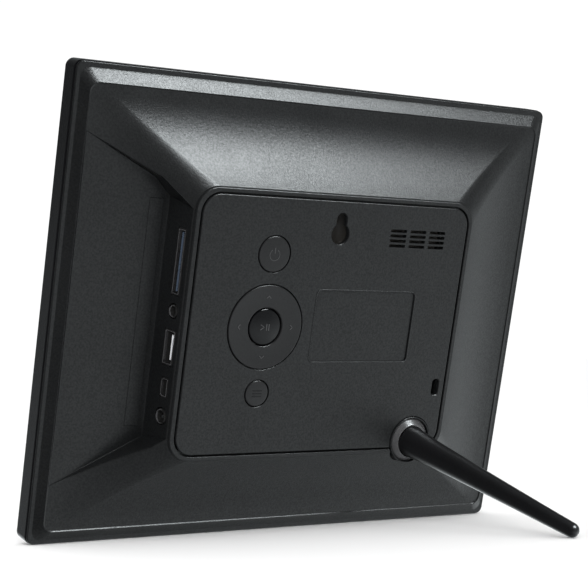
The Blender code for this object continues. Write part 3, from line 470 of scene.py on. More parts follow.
def turned(profile, steps=64, at=(0, 0), along_y=True):
    """Revolve (radius, height) points about a line along y through at = (x, z), or about z."""
    def run(shape):
        rings = []
        for radius, height in profile:
            count = 1 if radius == 0 else steps
            ring = []
            for i in range(count):
                a = 2 * math.pi * i / steps
                across, up = radius * math.cos(a), radius * math.sin(a)
                point = (at[0] + across, height, at[1] + up) if along_y else (across, up, height)
                ring.append(shape.verts.new(point))
            rings.append(ring)
        pairs = list(zip(rings, rings[1:]))
        if not (profile[0][0] == 0 and profile[-1][0] == 0):
            pairs.append((rings[-1], rings[0]))
        for lower, upper in pairs:
            for i in range(steps):
                j = (i + 1) % steps
                corners = [lower[i % len(lower)], lower[j % len(lower)]]
                corners += [upper[j % len(upper)], upper[i % len(upper)]]
                shape.faces.new(list(dict.fromkeys(corners)))
    return run


def drum(radius, y0, y1, at=(0, 0), steps=64, along_y=True):
    return turned([(0, y0), (radius, y0), (radius, y1), (0, y1)], steps, at, along_y)


def flared_drum(radius, y0, top, flare, at):
    """A cutter for a round hole with a small chamfer at its mouth."""
    points = [(0, y0), (radius, y0), (radius, top - flare), (radius + flare + 1, top + 1), (0, top + 1)]
    return turned(points, 96, at)


# Rear housing


def smooth_max(a, b, width):
    return 0.5 * (a + b + math.sqrt((a - b) ** 2 + width ** 2))


def smooth_min(a, b, width):
    return -smooth_max(-a, -b, width)


def slope_height(blend, foot=SLOPE_FOOT, top=DEPTH - EDGE_ROUND):
    return foot + (top - foot) * blend ** SLOPE_POWER


WALL_FOOT_X = TROUGH_END[0] + (DEPTH - TROUGH_FLOOR) * math.tan(PORT_WALL_DRAFT)


def trough_bottom(x, surface):
    """Level of the trough's floor or port wall at x, never above the surrounding surface."""
    wall = TROUGH_FLOOR + (WALL_FOOT_X - x) / math.tan(PORT_WALL_DRAFT)
    level = smooth_max(TROUGH_FLOOR, wall, WALL_BLEND)
    return smooth_min(level, surface, RIM_BLEND)


def trough_sides(x):
    """Lower and upper edge of the trough at x."""
    part = (TROUGH_MOUTH[0] - x) / (TROUGH_MOUTH[0] - TROUGH_END[0])
    return mix(TROUGH_MOUTH[1], TROUGH_END[1], part), mix(TROUGH_MOUTH[2], TROUGH_END[2], part)


def port_side(x, z_low, z_high, y, cut):
    """Points up the ring's +x side, dipping through the trough where it is cut."""
    least_round, most_round, round_share, foot_share = 0.03, 0.6, 0.45, 2.05
    bends, straights, floor_steps = 5, 6, 24
    low, high = trough_sides(x)
    depth = max(y - trough_bottom(x, y), 0.0) if cut else 0.0
    radius = max(least_round, min(most_round, round_share * depth))
    foot = y - max(depth, foot_share * radius) if cut else y
    points = [(mix(z_low, low - radius, t / straights), y) for t in range(1, straights)]
    edge = radius if cut else 0.0

    def corner(centre_z, side):
        rim, base = [], []
        for step in range(bends + 1):
            a = math.pi / 2 * step / bends
            rim.append((centre_z - side * radius * (1 - math.sin(a)), y - edge * (1 - math.cos(a))))
            base.append((centre_z + side * radius * (1 - math.cos(a)), foot + edge * (1 - math.sin(a))))
        return rim + base

    points += corner(low, 1)
    points += [(mix(low + radius, high - radius, t / floor_steps), foot) for t in range(1, floor_steps)]
    points += corner(high, -1)[::-1]
    points += [(mix(high + radius, z_high, t / straights), y) for t in range(1, straights)]
    return [(x, level, min(max(z, z_low), z_high)) for z, level in points]


def skin_ring(box, radius, y, cut=False):
    """One level of the housing's skin with extra points along each straight side."""
    x0, x1, z0, z1 = box
    bends, across, down = 12, 24, 20

    def corner(cx, cz, start):
        return [(px, y, pz) for px, pz in arc(cx, cz, radius, start, start + 90, bends)]

    def run(a, b, count):
        return [tuple(mix(p, q, t / count) for p, q in zip(a, b)) for t in range(1, count)]

    low, high = z0 + radius, z1 - radius
    top_right = corner(x1 - radius, high, 0)
    top_left = corner(x0 + radius, high, 90)
    low_left = corner(x0 + radius, low, 180)
    low_right = corner(x1 - radius, low, 270)
    ring = top_right + run(top_right[-1], top_left[0], across) + top_left
    ring += run(top_left[-1], low_left[0], down) + low_left + run(low_left[-1], low_right[0], across)
    return ring + low_right + port_side(x1, low, high, y, cut)


def blends():
    """Blend values of the slope's rings, close together where the port wall rises."""
    side = edge_box(SLOPE_INSET)[1]
    wall, top = WALL_FOOT_X + 0.4, PLATEAU[1] + 0.05
    slope_rings, foot_rings, wall_rings, spacing = 22, 5, 30, 0.9
    places = [side - 0.4]
    places += [mix(side, RING_TURN_X, (t / slope_rings) ** spacing) for t in range(1, slope_rings + 1)]
    places += [mix(RING_TURN_X, wall, t / foot_rings) for t in range(1, foot_rings + 1)]
    places += [mix(wall, top, t / wall_rings) for t in range(1, wall_rings + 1)]
    return [0.0] + [(side - x) / (side - PLATEAU[1]) for x in places] + [1.0]


def edge_box(inset):
    """The casing's outline at an inset, shifted gradually to where the crest lies on each side."""
    share = min(max((inset - FRONT_CHAMFER) / (CHAMFER_TOP[0] - FRONT_CHAMFER), 0.0), 1.0)
    left, right, low, high = (inset + shift * share for shift in CREST_SHIFT)
    return (OUTER[0] + left, OUTER[1] - right, OUTER[2] + low, OUTER[3] - high)


def chamfer_profile():
    """(inset, y) points of the housing's outer edge: seam, rounded lip, hollow chamfer, crest."""
    bend = LIP_ROUND
    profile = [(GAP, BEZEL_DEPTH + GAP), (GAP, LIP_LEVEL - bend)]
    profile += arc(GAP + bend, LIP_LEVEL - bend, bend, 165, 90, 5)
    profile += [(CHAMFER_FOOT - 0.25, LIP_LEVEL), (CHAMFER_FOOT, LIP_LEVEL + 0.04)]
    crest, top = CHAMFER_TOP
    width = crest - CHAMFER_FOOT
    rise = top - LIP_LEVEL
    curl = (rise - CHAMFER_START_SLOPE * width) / width ** 2
    levels = 12
    for step in range(1, levels):
        w = width * step / levels
        profile.append((CHAMFER_FOOT + w, LIP_LEVEL + CHAMFER_START_SLOPE * w + curl * w * w))
    profile += [(crest - 0.1, top - 0.09), (crest + 0.02, top - 0.04), (crest + 0.14, top - 0.06)]
    profile += [(crest + 0.28, mix(top, SLOPE_FOOT, 0.5)), (crest + CREST_WIDTH, SLOPE_FOOT + 0.03)]
    return profile


def housing_skin(shape):
    round_start, round_reach = 0.8, 2.0
    loops = []
    for inset, y in chamfer_profile():
        share = min(max((inset - round_start) / round_reach, 0.0), 1.0)
        loops.append(skin_ring(edge_box(inset), mix(CORNER_RADIUS - GAP, CREST_RADIUS, share), y))
    outer = edge_box(SLOPE_INSET)
    for blend in blends():
        box = tuple(mix(a, b, blend) for a, b in zip(outer, PLATEAU))
        radius = mix(CREST_RADIUS, PLATEAU_RADIUS, blend)
        loops.append(skin_ring(box, radius, slope_height(blend), cut=0 < blend < 1))
    bends = 6
    for step in range(1, bends + 1):
        a = mix(EDGE_START, 0, step / bends)
        inset = EDGE_ROUND * (1 - math.sin(a) / math.sin(EDGE_START))
        rise = (math.cos(a) - math.cos(EDGE_START)) / (1 - math.cos(EDGE_START))
        box = inset_box(PLATEAU, inset)
        loops.append(skin_ring(box, PLATEAU_RADIUS - inset, DEPTH - EDGE_ROUND * (1 - rise)))
    loft(shape, loops)


def housing_hollow(shape):
    """The hollow inside the housing, open towards the bezel."""
    thickness, levels, bends = 2.0, 8, 6
    inner_plateau = inset_box(PLATEAU, WALL)
    start = inset_box(OUTER, SLOPE_INSET + 1.9)
    entry = rounded_outline(inset_box(OUTER, 3.6), thickness, bends)
    loops = [layer(entry, BEZEL_DEPTH - thickness), layer(entry, BEZEL_DEPTH + 2 * GAP)]
    for step in range(levels + 1):
        blend = step / levels
        box = tuple(mix(a, b, blend) for a, b in zip(start, inner_plateau))
        outline = rounded_outline(box, mix(1.5, PLATEAU_RADIUS - WALL, blend), bends)
        loops.append(layer(outline, slope_height(blend, SLOPE_FOOT - thickness, LEDGE_UNDER)))
    loft(shape, loops)


def trough_outline(grow, end_x):
    mouth_x, mouth_low, mouth_high = TROUGH_MOUTH
    inner_x, inner_low, inner_high = TROUGH_END
    flare = (inner_low - mouth_low) / (mouth_x - inner_x)
    shift = (inner_x - end_x) * flare
    return [
        (mouth_x + grow, mouth_low - grow - grow * flare),
        (mouth_x + grow, mouth_high + grow + grow * flare),
        (end_x - grow, inner_high - shift + grow),
        (end_x - grow, inner_low + shift - grow),
    ]


def barrel(radius, x0, x1, z):
    """A cylinder along x at the ports' level."""
    def run(shape):
        start = len(shape.verts)
        drum(radius, x0, x1, steps=40, along_y=False)(shape)
        shape.verts.ensure_lookup_table()
        turn = Matrix.Translation((0, PORT_LEVEL, z)) @ Matrix.Rotation(math.pi / 2, 4, "Y")
        bmesh.ops.transform(shape, matrix=turn, verts=shape.verts[start:])
    return run


def port_holes():
    x0, x1 = (TROUGH_END[0] + end for end in PORT_HOLE)
    holes = []
    for z, width, height in (CARD_PORT, USB_PORT, MINI_PORT):
        half_z = width / 2 + PORT_CLEARANCE
        half_y = height / 2 + PORT_CLEARANCE
        holes.append(block(x0, x1, PORT_LEVEL - half_y, PORT_LEVEL + half_y, z - half_z, z + half_z))
    for z, radius in ((PHONE_PORT_Z, PHONE_JACK[0]), (POWER_PORT_Z, POWER_JACK[0])):
        holes.append(barrel(radius + PORT_CLEARANCE, x0, x1, z))
    return several(holes)


def cover_outline(grow=0.0):
    return rounded_outline(inset_box(COVER, -grow), COVER_RADIUS + grow, 14)


def make_housing(material):
    housing = build("housing_shell", housing_skin, material)
    hollow = build("hollow", housing_hollow)
    carve(hollow, plate(trough_outline(WALL, TROUGH_END[0]), TROUGH_FLOOR - 2.1, DEPTH + 3))
    carve_with(housing, hollow)

    def pocket(shape):
        loft(shape, [
            layer(cover_outline(GROOVE), LEDGE_LEVEL),
            layer(cover_outline(GROOVE), DEPTH - 0.35),
            layer(cover_outline(GROOVE + 0.1), DEPTH - 0.13),
            layer(cover_outline(GROOVE + 0.3), DEPTH),
            layer(cover_outline(GROOVE + 1.0), DEPTH + 0.5),
        ])

    carve(housing, pocket)
    opening = rounded_outline(inset_box(COVER, LEDGE - GROOVE), COVER_RADIUS - LEDGE + GROOVE)
    carve(housing, plate(opening, DEPTH - 9, DEPTH + 1.5))
    x0, x1 = COVER[1] - LEDGE - 2, COVER[1] + GROOVE
    carve(housing, block(x0, x1, DEPTH - 8.5, DEPTH - 1, *SIDE_RELIEF))
    carve(housing, port_holes())
    foot = rounded_outline(STRIP, 0.5, 4)
    top = rounded_outline(inset_box(STRIP, STRIP_BEVEL), 0.4, 4)
    carve(housing, lambda shape: loft(shape, [
        layer(foot, TROUGH_FLOOR - STRIP_HEIGHT),
        layer(foot, TROUGH_FLOOR + 0.08),
        layer(top, TROUGH_FLOOR + STRIP_HEIGHT),
    ]), "UNION")
    carve(housing, drum(SOCKET_RADIUS + GAP, DEPTH - 12, DEPTH + 2, SOCKET))
    even_normals(housing)
    settle(housing, "casing", "housing_plastic", "rear_housing")


# Ports: drawn sleeves that follow the drafted wall, with tongues, contacts and a pin inside


def wall_x(y, proud=0.0):
    return TROUGH_END[0] + (DEPTH - y) * math.tan(PORT_WALL_DRAFT) + proud


def port_box(z, width, height, radius):
    """Outline (z, y) of a port with small corners."""
    return rounded_outline(centred_box(z, PORT_LEVEL, width, height), radius, 4)


def port_circle(z, radius):
    steps = 48
    return arc(z, PORT_LEVEL, radius, 0, 360 * (steps - 1) / steps, steps - 1)


def keyed_outline(z, width, height, cut):
    """Outline (z, y) of a port whose far corners are cut off, as on a mini plug."""
    z0, z1 = z - width / 2, z + width / 2
    y0, y1 = PORT_LEVEL - height / 2, PORT_LEVEL + height / 2
    slant = cut * 0.8
    return [(z1, y0 + cut), (z1, y1), (z0, y1), (z0, y0 + cut), (z0 + slant, y0), (z1 - slant, y0)]


def shell(outer, inner, depth, proud):
    """A sleeve between two (z, y) outlines, from inside the housing to just proud of the wall."""
    def run(shape):
        back = wall_x(PORT_LEVEL) - depth
        loft(shape, [
            [(back, y, z) for z, y in outer],
            [(wall_x(y, proud), y, z) for z, y in outer],
            [(wall_x(y, proud), y, z) for z, y in inner],
            [(back, y, z) for z, y in inner],
        ], closed=True)
    return run


def plug(outline, back, front):
    """A solid bar along x with a (z, y) outline."""
    return lambda shape: loft(shape, [[(x, y, z) for z, y in outline] for x in (back, front)])


def sleeve(outer, inner):
    """A drawn sleeve with its end stopped."""
    stop = wall_x(PORT_LEVEL) - SLEEVE_DEPTH
    return several([shell(outer, inner, SLEEVE_DEPTH, 0.02), plug(inner, stop - 0.3, stop + 0.1)])


def make_ports(materials):
    """Black sleeves in the sockets, and a thin bright rim just proud of the wall round every port: its
    light grey is a painted highlight of the port edges.
    """
    black, brass = materials["dark_plastic"], materials["brass"]
    rims = []
    small, boxed = PORT_INSET - 0.1, (0.35, 0.2, 0.3)
    keyed = (MINI_CUT, MINI_CUT - 0.1, MINI_CUT - 0.05)
    for name, node, (z, width, height), outline, corners, inset in (
        ("card_shell", "card_socket", CARD_PORT, port_box, boxed, PORT_INSET),
        ("usb_shell", "usb_socket", USB_PORT, port_box, boxed, PORT_INSET),
        ("mini_shell", "mini_usb_socket", MINI_PORT, keyed_outline, keyed, small),
    ):
        wide, high = width - PORT_INSET, height - inset
        outer = outline(z, width + SLEEVE_SEAT, height + SLEEVE_SEAT, corners[0])
        inner = outline(z, wide, high, corners[1])
        rim = outline(z, wide + 2 * RIM_SHEET, high + 2 * RIM_SHEET, corners[2])
        rims.append(shell(rim, inner, RIM_DEPTH, RIM_PROUD))
        settle(build(name, sleeve(outer, inner), black), "casing", "steel", node)
    for z, radius in ((PHONE_PORT_Z, PHONE_JACK[1]), (POWER_PORT_Z, POWER_JACK[1])):
        rim, inner = port_circle(z, radius + RIM_SHEET), port_circle(z, radius)
        rims.append(shell(rim, inner, RIM_DEPTH, RIM_PROUD))
    # The rims' light grey material paints the highlight along the port edges.
    settle(build("port_rims", several(rims), materials["port_rim"]), "casing", "steel")
    make_card_slot(materials["card_steel"], brass)
    make_tongues(materials["tongue_white"], black, brass)
    make_power_pin(materials["steel"])


def make_card_slot(steel, brass):
    """Sprung steel flap behind the mouth, and nine contact fingers with their bends."""
    mouth = wall_x(PORT_LEVEL)
    card_z, width, _ = CARD_PORT
    half = width / 2 - 1.2
    section = ((0, 0), (0.6, 0.35), (0.6, 0.2), (0, -0.15))

    def flap(shape):
        loft(shape, [
            [(mouth - 0.3 - back, PORT_LEVEL - 0.3 + lift, card_z + side) for back, lift in section]
            for side in (-half, half)
        ])

    settle(build("card_flap", flap, steel), "casing", "steel")
    count, back = 9, mouth - 6.4
    fingers = []
    for index in range(count):
        z = card_z + (index - (count - 1) / 2) * CONTACT_PITCH
        fingers.append(plug(port_box(z, CONTACT_WIDTH, 0.22, 0.08), back, mouth - 3.6))
        bend = rounded_outline(centred_box(z, PORT_LEVEL + 0.75, CONTACT_WIDTH, 1.3), 0.1, 3)
        fingers.append(plug(bend, back, mouth - 5.2))
    settle(build("card_fingers", several(fingers), brass), "casing", "brass", "card_contacts")


def make_tongues(white, black, brass):
    """Tongue and four pads of the USB socket, and the tongue of the small one."""
    mouth = wall_x(PORT_LEVEL)
    z = USB_PORT[0]
    bar = rounded_outline(centred_box(z, PORT_LEVEL + 0.1, 9.6, 0.7), 0.2, 3)
    usb = build("usb_tongue_bar", plug(bar, mouth - 6.5, mouth - 1.1), white)
    settle(usb, "casing", "tongue_white", "usb_tongue")
    pads = [plug(centred_outline(z + at, PORT_LEVEL - 0.3, CONTACT_WIDTH, 0.14), mouth - 6.0, mouth - 1.3)
            for at in (-3.5, -1.1, 1.1, 3.5)]
    settle(build("usb_pads", several(pads), brass), "casing", "brass")
    bar = rounded_outline(centred_box(MINI_PORT[0], PORT_LEVEL + 0.4, 4.2, 0.8), 0.15, 3)
    mini = build("mini_tongue_bar", plug(bar, mouth - 6.4, mouth - 1.4), black)
    settle(mini, "casing", "dark_plastic", "mini_usb_tongue")


def make_power_pin(steel):
    """Round-nosed pin in the middle of the power jack."""
    r = PIN_RADIUS
    nose = [(r * math.cos(a), PIN_LENGTH + r * math.sin(a)) for a in (0.5, 1.0)]
    pin = turned([(0, 0), (r, 0), (r, PIN_LENGTH), *nose, (0, PIN_LENGTH + r)], 32, along_y=False)
    foot = Matrix.Translation((wall_x(PORT_LEVEL) - 5.8, PORT_LEVEL, POWER_PORT_Z))
    place = foot @ Matrix.Rotation(math.pi / 2, 4, "Y")
    settle(build("power_pin", pin, steel, place=place), "casing", "steel", "power_jack_pin")


def centred_outline(z, y, width, height):
    z0, z1, y0, y1 = centred_box(z, y, width, height)
    return [(z0, y0), (z1, y0), (z1, y1), (z0, y1)]


# Cover panel


def keyhole_outline(grow=0.0):
    x, z = KEYHOLE
    radius, half_slot, top = KEYHOLE_RADIUS + grow, KEYHOLE_HALF_SLOT + grow, KEYHOLE_TOP + grow
    entry = math.degrees(math.asin(half_slot / radius))
    points = arc(x, z, radius, 90 + entry, 450 - entry, 40)
    return points + arc(x, z + top - half_slot, half_slot, 0, 180, 16)


def stepped_cut(outline_at, floor, top, flare):
    """A cutter whose mouth opens by flare over the last flare of its height."""
    def run(shape):
        loft(shape, [
            layer(outline_at(0.0), floor),
            layer(outline_at(0.0), top - flare),
            layer(outline_at(flare), top),
            layer(outline_at(flare), top + 1),
        ])
    return run


def cover_body(shape):
    """The panel with a rounded upper edge."""
    bends = 5
    loops = [layer(cover_outline(), COVER_BACK), layer(cover_outline(), DEPTH - COVER_EDGE)]
    for step in range(1, bends + 1):
        a = math.pi / 2 * step / bends
        inset = COVER_EDGE * (1 - math.cos(a))
        loops.append(layer(cover_outline(-inset), DEPTH - COVER_EDGE + COVER_EDGE * math.sin(a)))
    loft(shape, loops)


def label_outline(grow):
    return rounded_outline(inset_box(LABEL_RECESS, -grow), LABEL_RADIUS + grow, 8)


def lock_outline(grow):
    return rounded_outline(inset_box(centred_box(*LOCK_SLOT, *LOCK_SIZE), -grow), LOCK_RADIUS + grow, 8)


def label_rim(shape):
    """A low rounded rim round the label recess."""
    loft(shape, [
        layer(label_outline(0.6), DEPTH - 0.3), layer(label_outline(0.6), DEPTH + 0.01),
        layer(label_outline(0.52), DEPTH + 0.1), layer(label_outline(0.38), DEPTH + LABEL_RIM),
    ])


def grille_slots():
    slots = []
    for column in (-1, 0, 1):
        for row in (-1.5, -0.5, 0.5, 1.5):
            x, z = GRILLE[0] + GRILLE_PITCH[0] * column, GRILLE[1] + GRILLE_PITCH[1] * row
            outline = rounded_outline(centred_box(x, z, *GRILLE_SLOT), 0.35, 5)
            slots.append(plate(outline, COVER_BACK - 1, DEPTH + 1))
    return several(slots)


def make_cover(material):
    cover = build("cover_panel", cover_body, material)
    posts = [(at, KEY_POST_RADIUS, KEY_BOARD_LEVEL[1] + GAP) for at in KEY_POSTS]
    posts += [(at, POST_RADIUS, BOARD_LEVEL[1] + GAP) for at in BOARD_POSTS]
    carve(cover, several([drum(r, end, COVER_BACK + 0.5, at, 24) for at, r, end in posts]), "UNION")
    carve(cover, several([drum(SCREW_PILOT, end - 1, end + 3, at, 16) for at, _, end in posts]))
    keys = ((POWER_Z, POWER_RADIUS), (NAV_Z, NAV_RADIUS), (MENU_Z, MENU_RADIUS))
    low = COVER_BACK - 2
    carve(cover, several([flared_drum(r, low, DEPTH, 0.12, (KEY_COLUMN, z)) for z, r in keys]))
    carve(cover, drum(SOCKET_RADIUS + GAP, low, DEPTH + 1, SOCKET))
    carve(cover, stepped_cut(keyhole_outline, COVER_BACK - 1, DEPTH, 0.3))
    carve(cover, grille_slots())
    carve(cover, label_rim, "UNION")
    carve(cover, stepped_cut(label_outline, DEPTH - LABEL_DEPTH, DEPTH + LABEL_RIM, LABEL_RIM))
    carve(cover, stepped_cut(lock_outline, COVER_BACK - 1, DEPTH, 0.3))
    even_normals(cover)
    settle(cover, "casing", "housing_plastic", "rear_cover")


def make_cup(material):
    """Bowl behind the keyhole that takes the head of a wall screw; its grey-brown tint is its own, its
    lightness is painted reflection of the bowl's walls.
    """
    box = centred_box(KEYHOLE[0], KEYHOLE[1] + CUP_RISE, *CUP_SIZE)
    outside = rounded_outline(box, CUP_RADIUS, 8)
    levels = 8

    def bowl(shape):
        loops = []
        for step in range(levels + 1):
            a = math.pi / 2 * step / levels
            inset = CUP_WALL + CUP_CURVE * (1 - math.sin(a))
            outline = rounded_outline(inset_box(box, inset), CUP_RADIUS - CUP_WALL - inset * 0.4, 8)
            loops.append(layer(outline, mix(CUP_FLOOR, LEDGE_LEVEL, 1 - math.cos(a))))
        loops += [layer(outside, LEDGE_LEVEL), layer(outside, CUP_FLOOR - CUP_WALL)]
        loft(shape, loops)

    settle(build("keyhole_bowl", bowl, material), "casing", "dark_plastic", "keyhole_cup")


# Front bezel


def bezel_body(shape):
    """Rounded front edge, rounded rear edge, then back through the pocket and the window's lip."""
    bends = 6
    window = centred_box(0, HEIGHT / 2, *WINDOW)
    corner = 1.0
    reach = math.cos(LEAN) - math.sin(LEAN)

    def outline(box, radius, y):
        return layer(rounded_outline(box, radius, 12), y)

    loops = []
    for step in range(bends + 1):
        a = mix(LEAN, math.pi / 2 - LEAN, step / bends)
        inset = FRONT_CHAMFER * (1 - (math.sin(a) - math.sin(LEAN)) / reach)
        depth = FRONT_CHAMFER * (math.cos(LEAN) - math.cos(a)) / reach
        loops.append(outline(inset_box(OUTER, inset), CORNER_RADIUS - inset * 0.6, depth))
    rear = BEZEL_REAR_ROUND
    rear_bends = 4
    for step in range(rear_bends + 1):
        a = math.pi / 2 * step / rear_bends
        inset = rear * (1 - math.cos(a))
        box = inset_box(OUTER, inset)
        loops.append(outline(box, CORNER_RADIUS - inset, BEZEL_DEPTH - rear + rear * math.sin(a)))
    pocket = inset_box(OUTER, WALL)
    flare, lip = WINDOW_ROUND
    loops += [outline(pocket, FRONT_CHAMFER, y) for y in (BEZEL_DEPTH, BEZEL_FACE)]
    loops += [outline(window, corner, y) for y in (BEZEL_FACE, lip)]
    for step in range(1, bends + 1):
        a = math.pi / 2 * step / bends
        grow = flare * (1 - math.cos(a))
        loops.append(outline(inset_box(window, -grow), corner + grow, lip * (1 - math.sin(a))))
    loft(shape, loops, closed=True)


def make_bezel(material):
    bezel = build("bezel_moulding", bezel_body, material)
    heights = (BRACKET_POST_INSET, HEIGHT - BRACKET_POST_INSET)
    posts = [(side * BRACKET_X, z) for side in (-1, 1) for z in heights]
    foot = BEZEL_FACE - 0.5
    carve(bezel, several([drum(POST_RADIUS, foot, MODULE_BACK, at, 24) for at in posts]), "UNION")
    low, high = BEZEL_FACE + 1, MODULE_BACK + 1
    carve(bezel, several([drum(PILOT_RADIUS, low, high, at, 16) for at in posts]))
    even_normals(bezel)
    settle(bezel, "casing", "bezel_plastic", "front_bezel")


# Keys


def key_profile(radius, crown):
    """Round key from stem to crown, with a rounded shoulder."""
    outer = radius - KEY_CLEARANCE
    flange = radius + KEY_FLANGE_REACH
    low, high = KEY_FLANGE
    shoulder = KEY_SHOULDER + crown / 2
    top = KEY_TOP - crown
    steps = 8
    profile = [(0, KEY_STEM_FOOT), (STEM_RADIUS, KEY_STEM_FOOT), (STEM_RADIUS, low), (flange, low)]
    profile += [(flange, high), (outer, high)]
    profile += arc(outer - shoulder, top - shoulder, shoulder, 0, 80, 6)
    reach = outer - shoulder * 0.9
    for step in range(1, steps):
        t = step / steps
        profile.append((reach * (1 - t), top + crown * (1 - (1 - t) ** 2)))
    profile.append((0, KEY_TOP))
    return profile


def ring_profile():
    """The four-way ring: flange, rounded outer edge, dished face and rounded inner edge."""
    outer = NAV_RADIUS - KEY_CLEARANCE
    edge = outer - NAV_SHOULDER
    lip = SELECT_RADIUS + NAV_LIP
    bore = SELECT_RADIUS + NAV_BORE_REACH
    flange = NAV_RADIUS + NAV_FLANGE_REACH
    low, high = NAV_FLANGE
    steps = 8
    profile = [(bore, low), (flange, low), (flange, high), (outer, high)]
    profile += arc(edge, KEY_TOP - NAV_SHOULDER, NAV_SHOULDER, 0, 90, 6)
    for step in range(1, steps):
        t = step / steps
        profile.append((mix(edge, lip, t), KEY_TOP - NAV_DISH * math.sin(math.pi / 2 * t)))
    profile += arc(lip, KEY_TOP - NAV_DISH - NAV_LIP, NAV_LIP, 90, 180, 6)
    return profile + [(SELECT_RADIUS, NAV_SKIRT), (bore, NAV_SKIRT)]


def make_keys(materials):
    for name, z, radius, crown, slot in (
        ("power", POWER_Z, POWER_RADIUS, KEY_CROWN, "key_plastic"),
        ("select", NAV_Z, SELECT_RADIUS, SELECT_CROWN, "gloss_key_plastic"),
        ("menu", MENU_Z, MENU_RADIUS, KEY_CROWN, "key_plastic"),
    ):
        shape = turned(key_profile(radius, crown), 96, (KEY_COLUMN, z))
        cap = build(name + "_cap", shape, materials[slot])
        even_normals(cap)
        settle(cap, name + "_button", slot, name + "_key")
    ring = build("nav_ring_cap", turned(ring_profile(), 128, (KEY_COLUMN, NAV_Z)), materials["key_plastic"])
    turns = [math.pi / 2 * quarter for quarter in range(4)]
    reach = NAV_SWITCH_OFFSET
    stems = [(KEY_COLUMN + reach * math.cos(a), NAV_Z + reach * math.sin(a)) for a in turns]
    carve(ring, several([drum(STEM_RADIUS, *NAV_STEM_LEVEL, at, 24) for at in stems]), "UNION")
    even_normals(ring)
    settle(ring, "nav_rocker", "key_plastic", "nav_ring")


def raised(name, outlines, level, height, body, material):
    """Thin raised marks from closed outlines of (x, z) points."""
    makers = [plate(outline, level - MARK_SINK, level + height) for outline in outlines]
    settle(build(name, several(makers), material), body, "key_plastic")


def stroke(points, width=MARK_LINE):
    """Quads along a line of points, each a closed outline that overlaps the next."""
    outlines = []
    overlap = width * 0.35
    for (ax, az), (bx, bz) in zip(points, points[1:]):
        length = math.hypot(bx - ax, bz - az)
        ux, uz = (bx - ax) / length, (bz - az) / length
        nx, nz = -uz * width / 2, ux * width / 2
        ex, ez = ux * overlap, uz * overlap
        outlines.append([
            (ax - ex + nx, az - ez + nz), (ax - ex - nx, az - ez - nz),
            (bx + ex - nx, bz + ez - nz), (bx + ex + nx, bz + ez + nz),
        ])
    return outlines


def make_marks(material, dark):
    """Generic raised symbols: power, play and pause, four arrows, and three menu lines."""
    x = KEY_COLUMN
    face, height = KEY_TOP - 0.05, 0.12
    ring = arc(x, POWER_Z - 0.3, 2.2, 125, 415, 28)
    power = stroke(ring) + stroke([(x, POWER_Z + 0.3), (x, POWER_Z + 2.4)])
    raised("power_mark", power, face, height, "power_button", material)
    bars = []
    for row in (-1.1, 0.0, 1.1):
        bars += stroke([(x - 1.9, MENU_Z + row), (x + 1.9, MENU_Z + row)], 0.4)
    raised("menu_mark", bars, face, height, "menu_button", dark)
    play = stroke([(x + 2.2, NAV_Z - 1.0), (x + 0.6, NAV_Z), (x + 2.2, NAV_Z + 1.0)])
    for bar in (-0.5, -1.5):
        play += stroke([(x + bar, NAV_Z - 1.2), (x + bar, NAV_Z + 1.2)], 0.3)
    raised("play_mark", play, KEY_TOP - 0.02, 0.1, "select_button", material)
    arrows = []
    for quarter in range(4):
        turn = math.pi / 2 * quarter
        points = []
        for along, across in ((11.3, 0.9), (12.2, 0.0), (11.3, -0.9)):
            points.append((x + along * math.cos(turn) - across * math.sin(turn),
                           NAV_Z + along * math.sin(turn) + across * math.cos(turn)))
        arrows += stroke(points)
    raised("arrow_marks", arrows, KEY_TOP - 0.14, 0.14, "nav_rocker", material)


# Leg and socket


def leg_matrix():
    along = Vector((
        -math.sin(LEG_TILT) * math.cos(LEG_HEADING),
        math.cos(LEG_TILT),
        -math.sin(LEG_TILT) * math.sin(LEG_HEADING),
    ))
    side = Vector((1, 0, 0)).cross(along).normalized()
    across = side.cross(along)
    turn = Matrix((across, side, along)).transposed().to_4x4()
    return Matrix.Translation(LEG_ROOT) @ turn


def make_leg(materials):
    place = leg_matrix()
    drop = (PLACE.to_3x3() @ place.to_3x3() @ Vector((0, 0, 1))).z
    length = (world(*LEG_ROOT).z / MM - LEG_TIP_RADIUS) / -drop
    root, tip = LEG_ROOT_RADIUS, LEG_TIP_RADIUS
    steps = 12
    profile = [(0, -LEG_INSIDE)]
    profile += arc(root - LEG_EDGE, LEG_EDGE - LEG_INSIDE, LEG_EDGE, -90, 0, 4)
    profile.append((root, LEG_COLLAR))
    for step in range(1, steps + 1):
        t = step / steps
        profile.append((mix(root, tip, t ** LEG_TAPER_POWER), mix(LEG_COLLAR, length, t)))
    profile += arc(0, length, tip, 0, 90, 12)[1:-1]
    profile.append((0, length + tip))
    rod = turned(profile, 64, along_y=False)
    leg = build("leg_rod", rod, materials["leg_plastic"], place=place)
    settle(leg, "leg", "leg_plastic", "support_leg")
    top = -LEG_INSIDE - GAP
    stud = build("leg_stud_thread", thread(top - STUD_LENGTH, top), materials["steel"], place=place)
    settle(stud, "leg", "steel", "leg_stud")


def thread(start, end):
    """The stud's thread as a helical ridge skinned into one closed rod."""
    steps, rows_per_turn = 32, 8

    def run(shape):
        rows = int((end - start) / THREAD_PITCH * rows_per_turn)
        rings = []
        for row in range(rows + 1):
            height = mix(start, end, row / rows)
            rise = (height - start) / THREAD_PITCH
            fade = min(1.0, rise, (end - height) / THREAD_PITCH + 0.3)
            ring = []
            for i in range(steps):
                a = 2 * math.pi * i / steps
                ridge = abs((rise - i / steps) % 1.0 - 0.5) * 2
                r = STUD_RADIUS - THREAD_DEPTH * (1 - ridge) * fade - 0.5 * (1 - fade)
                ring.append((r * math.cos(a), r * math.sin(a), height))
            rings.append(ring)
        loft(shape, rings)
    return run


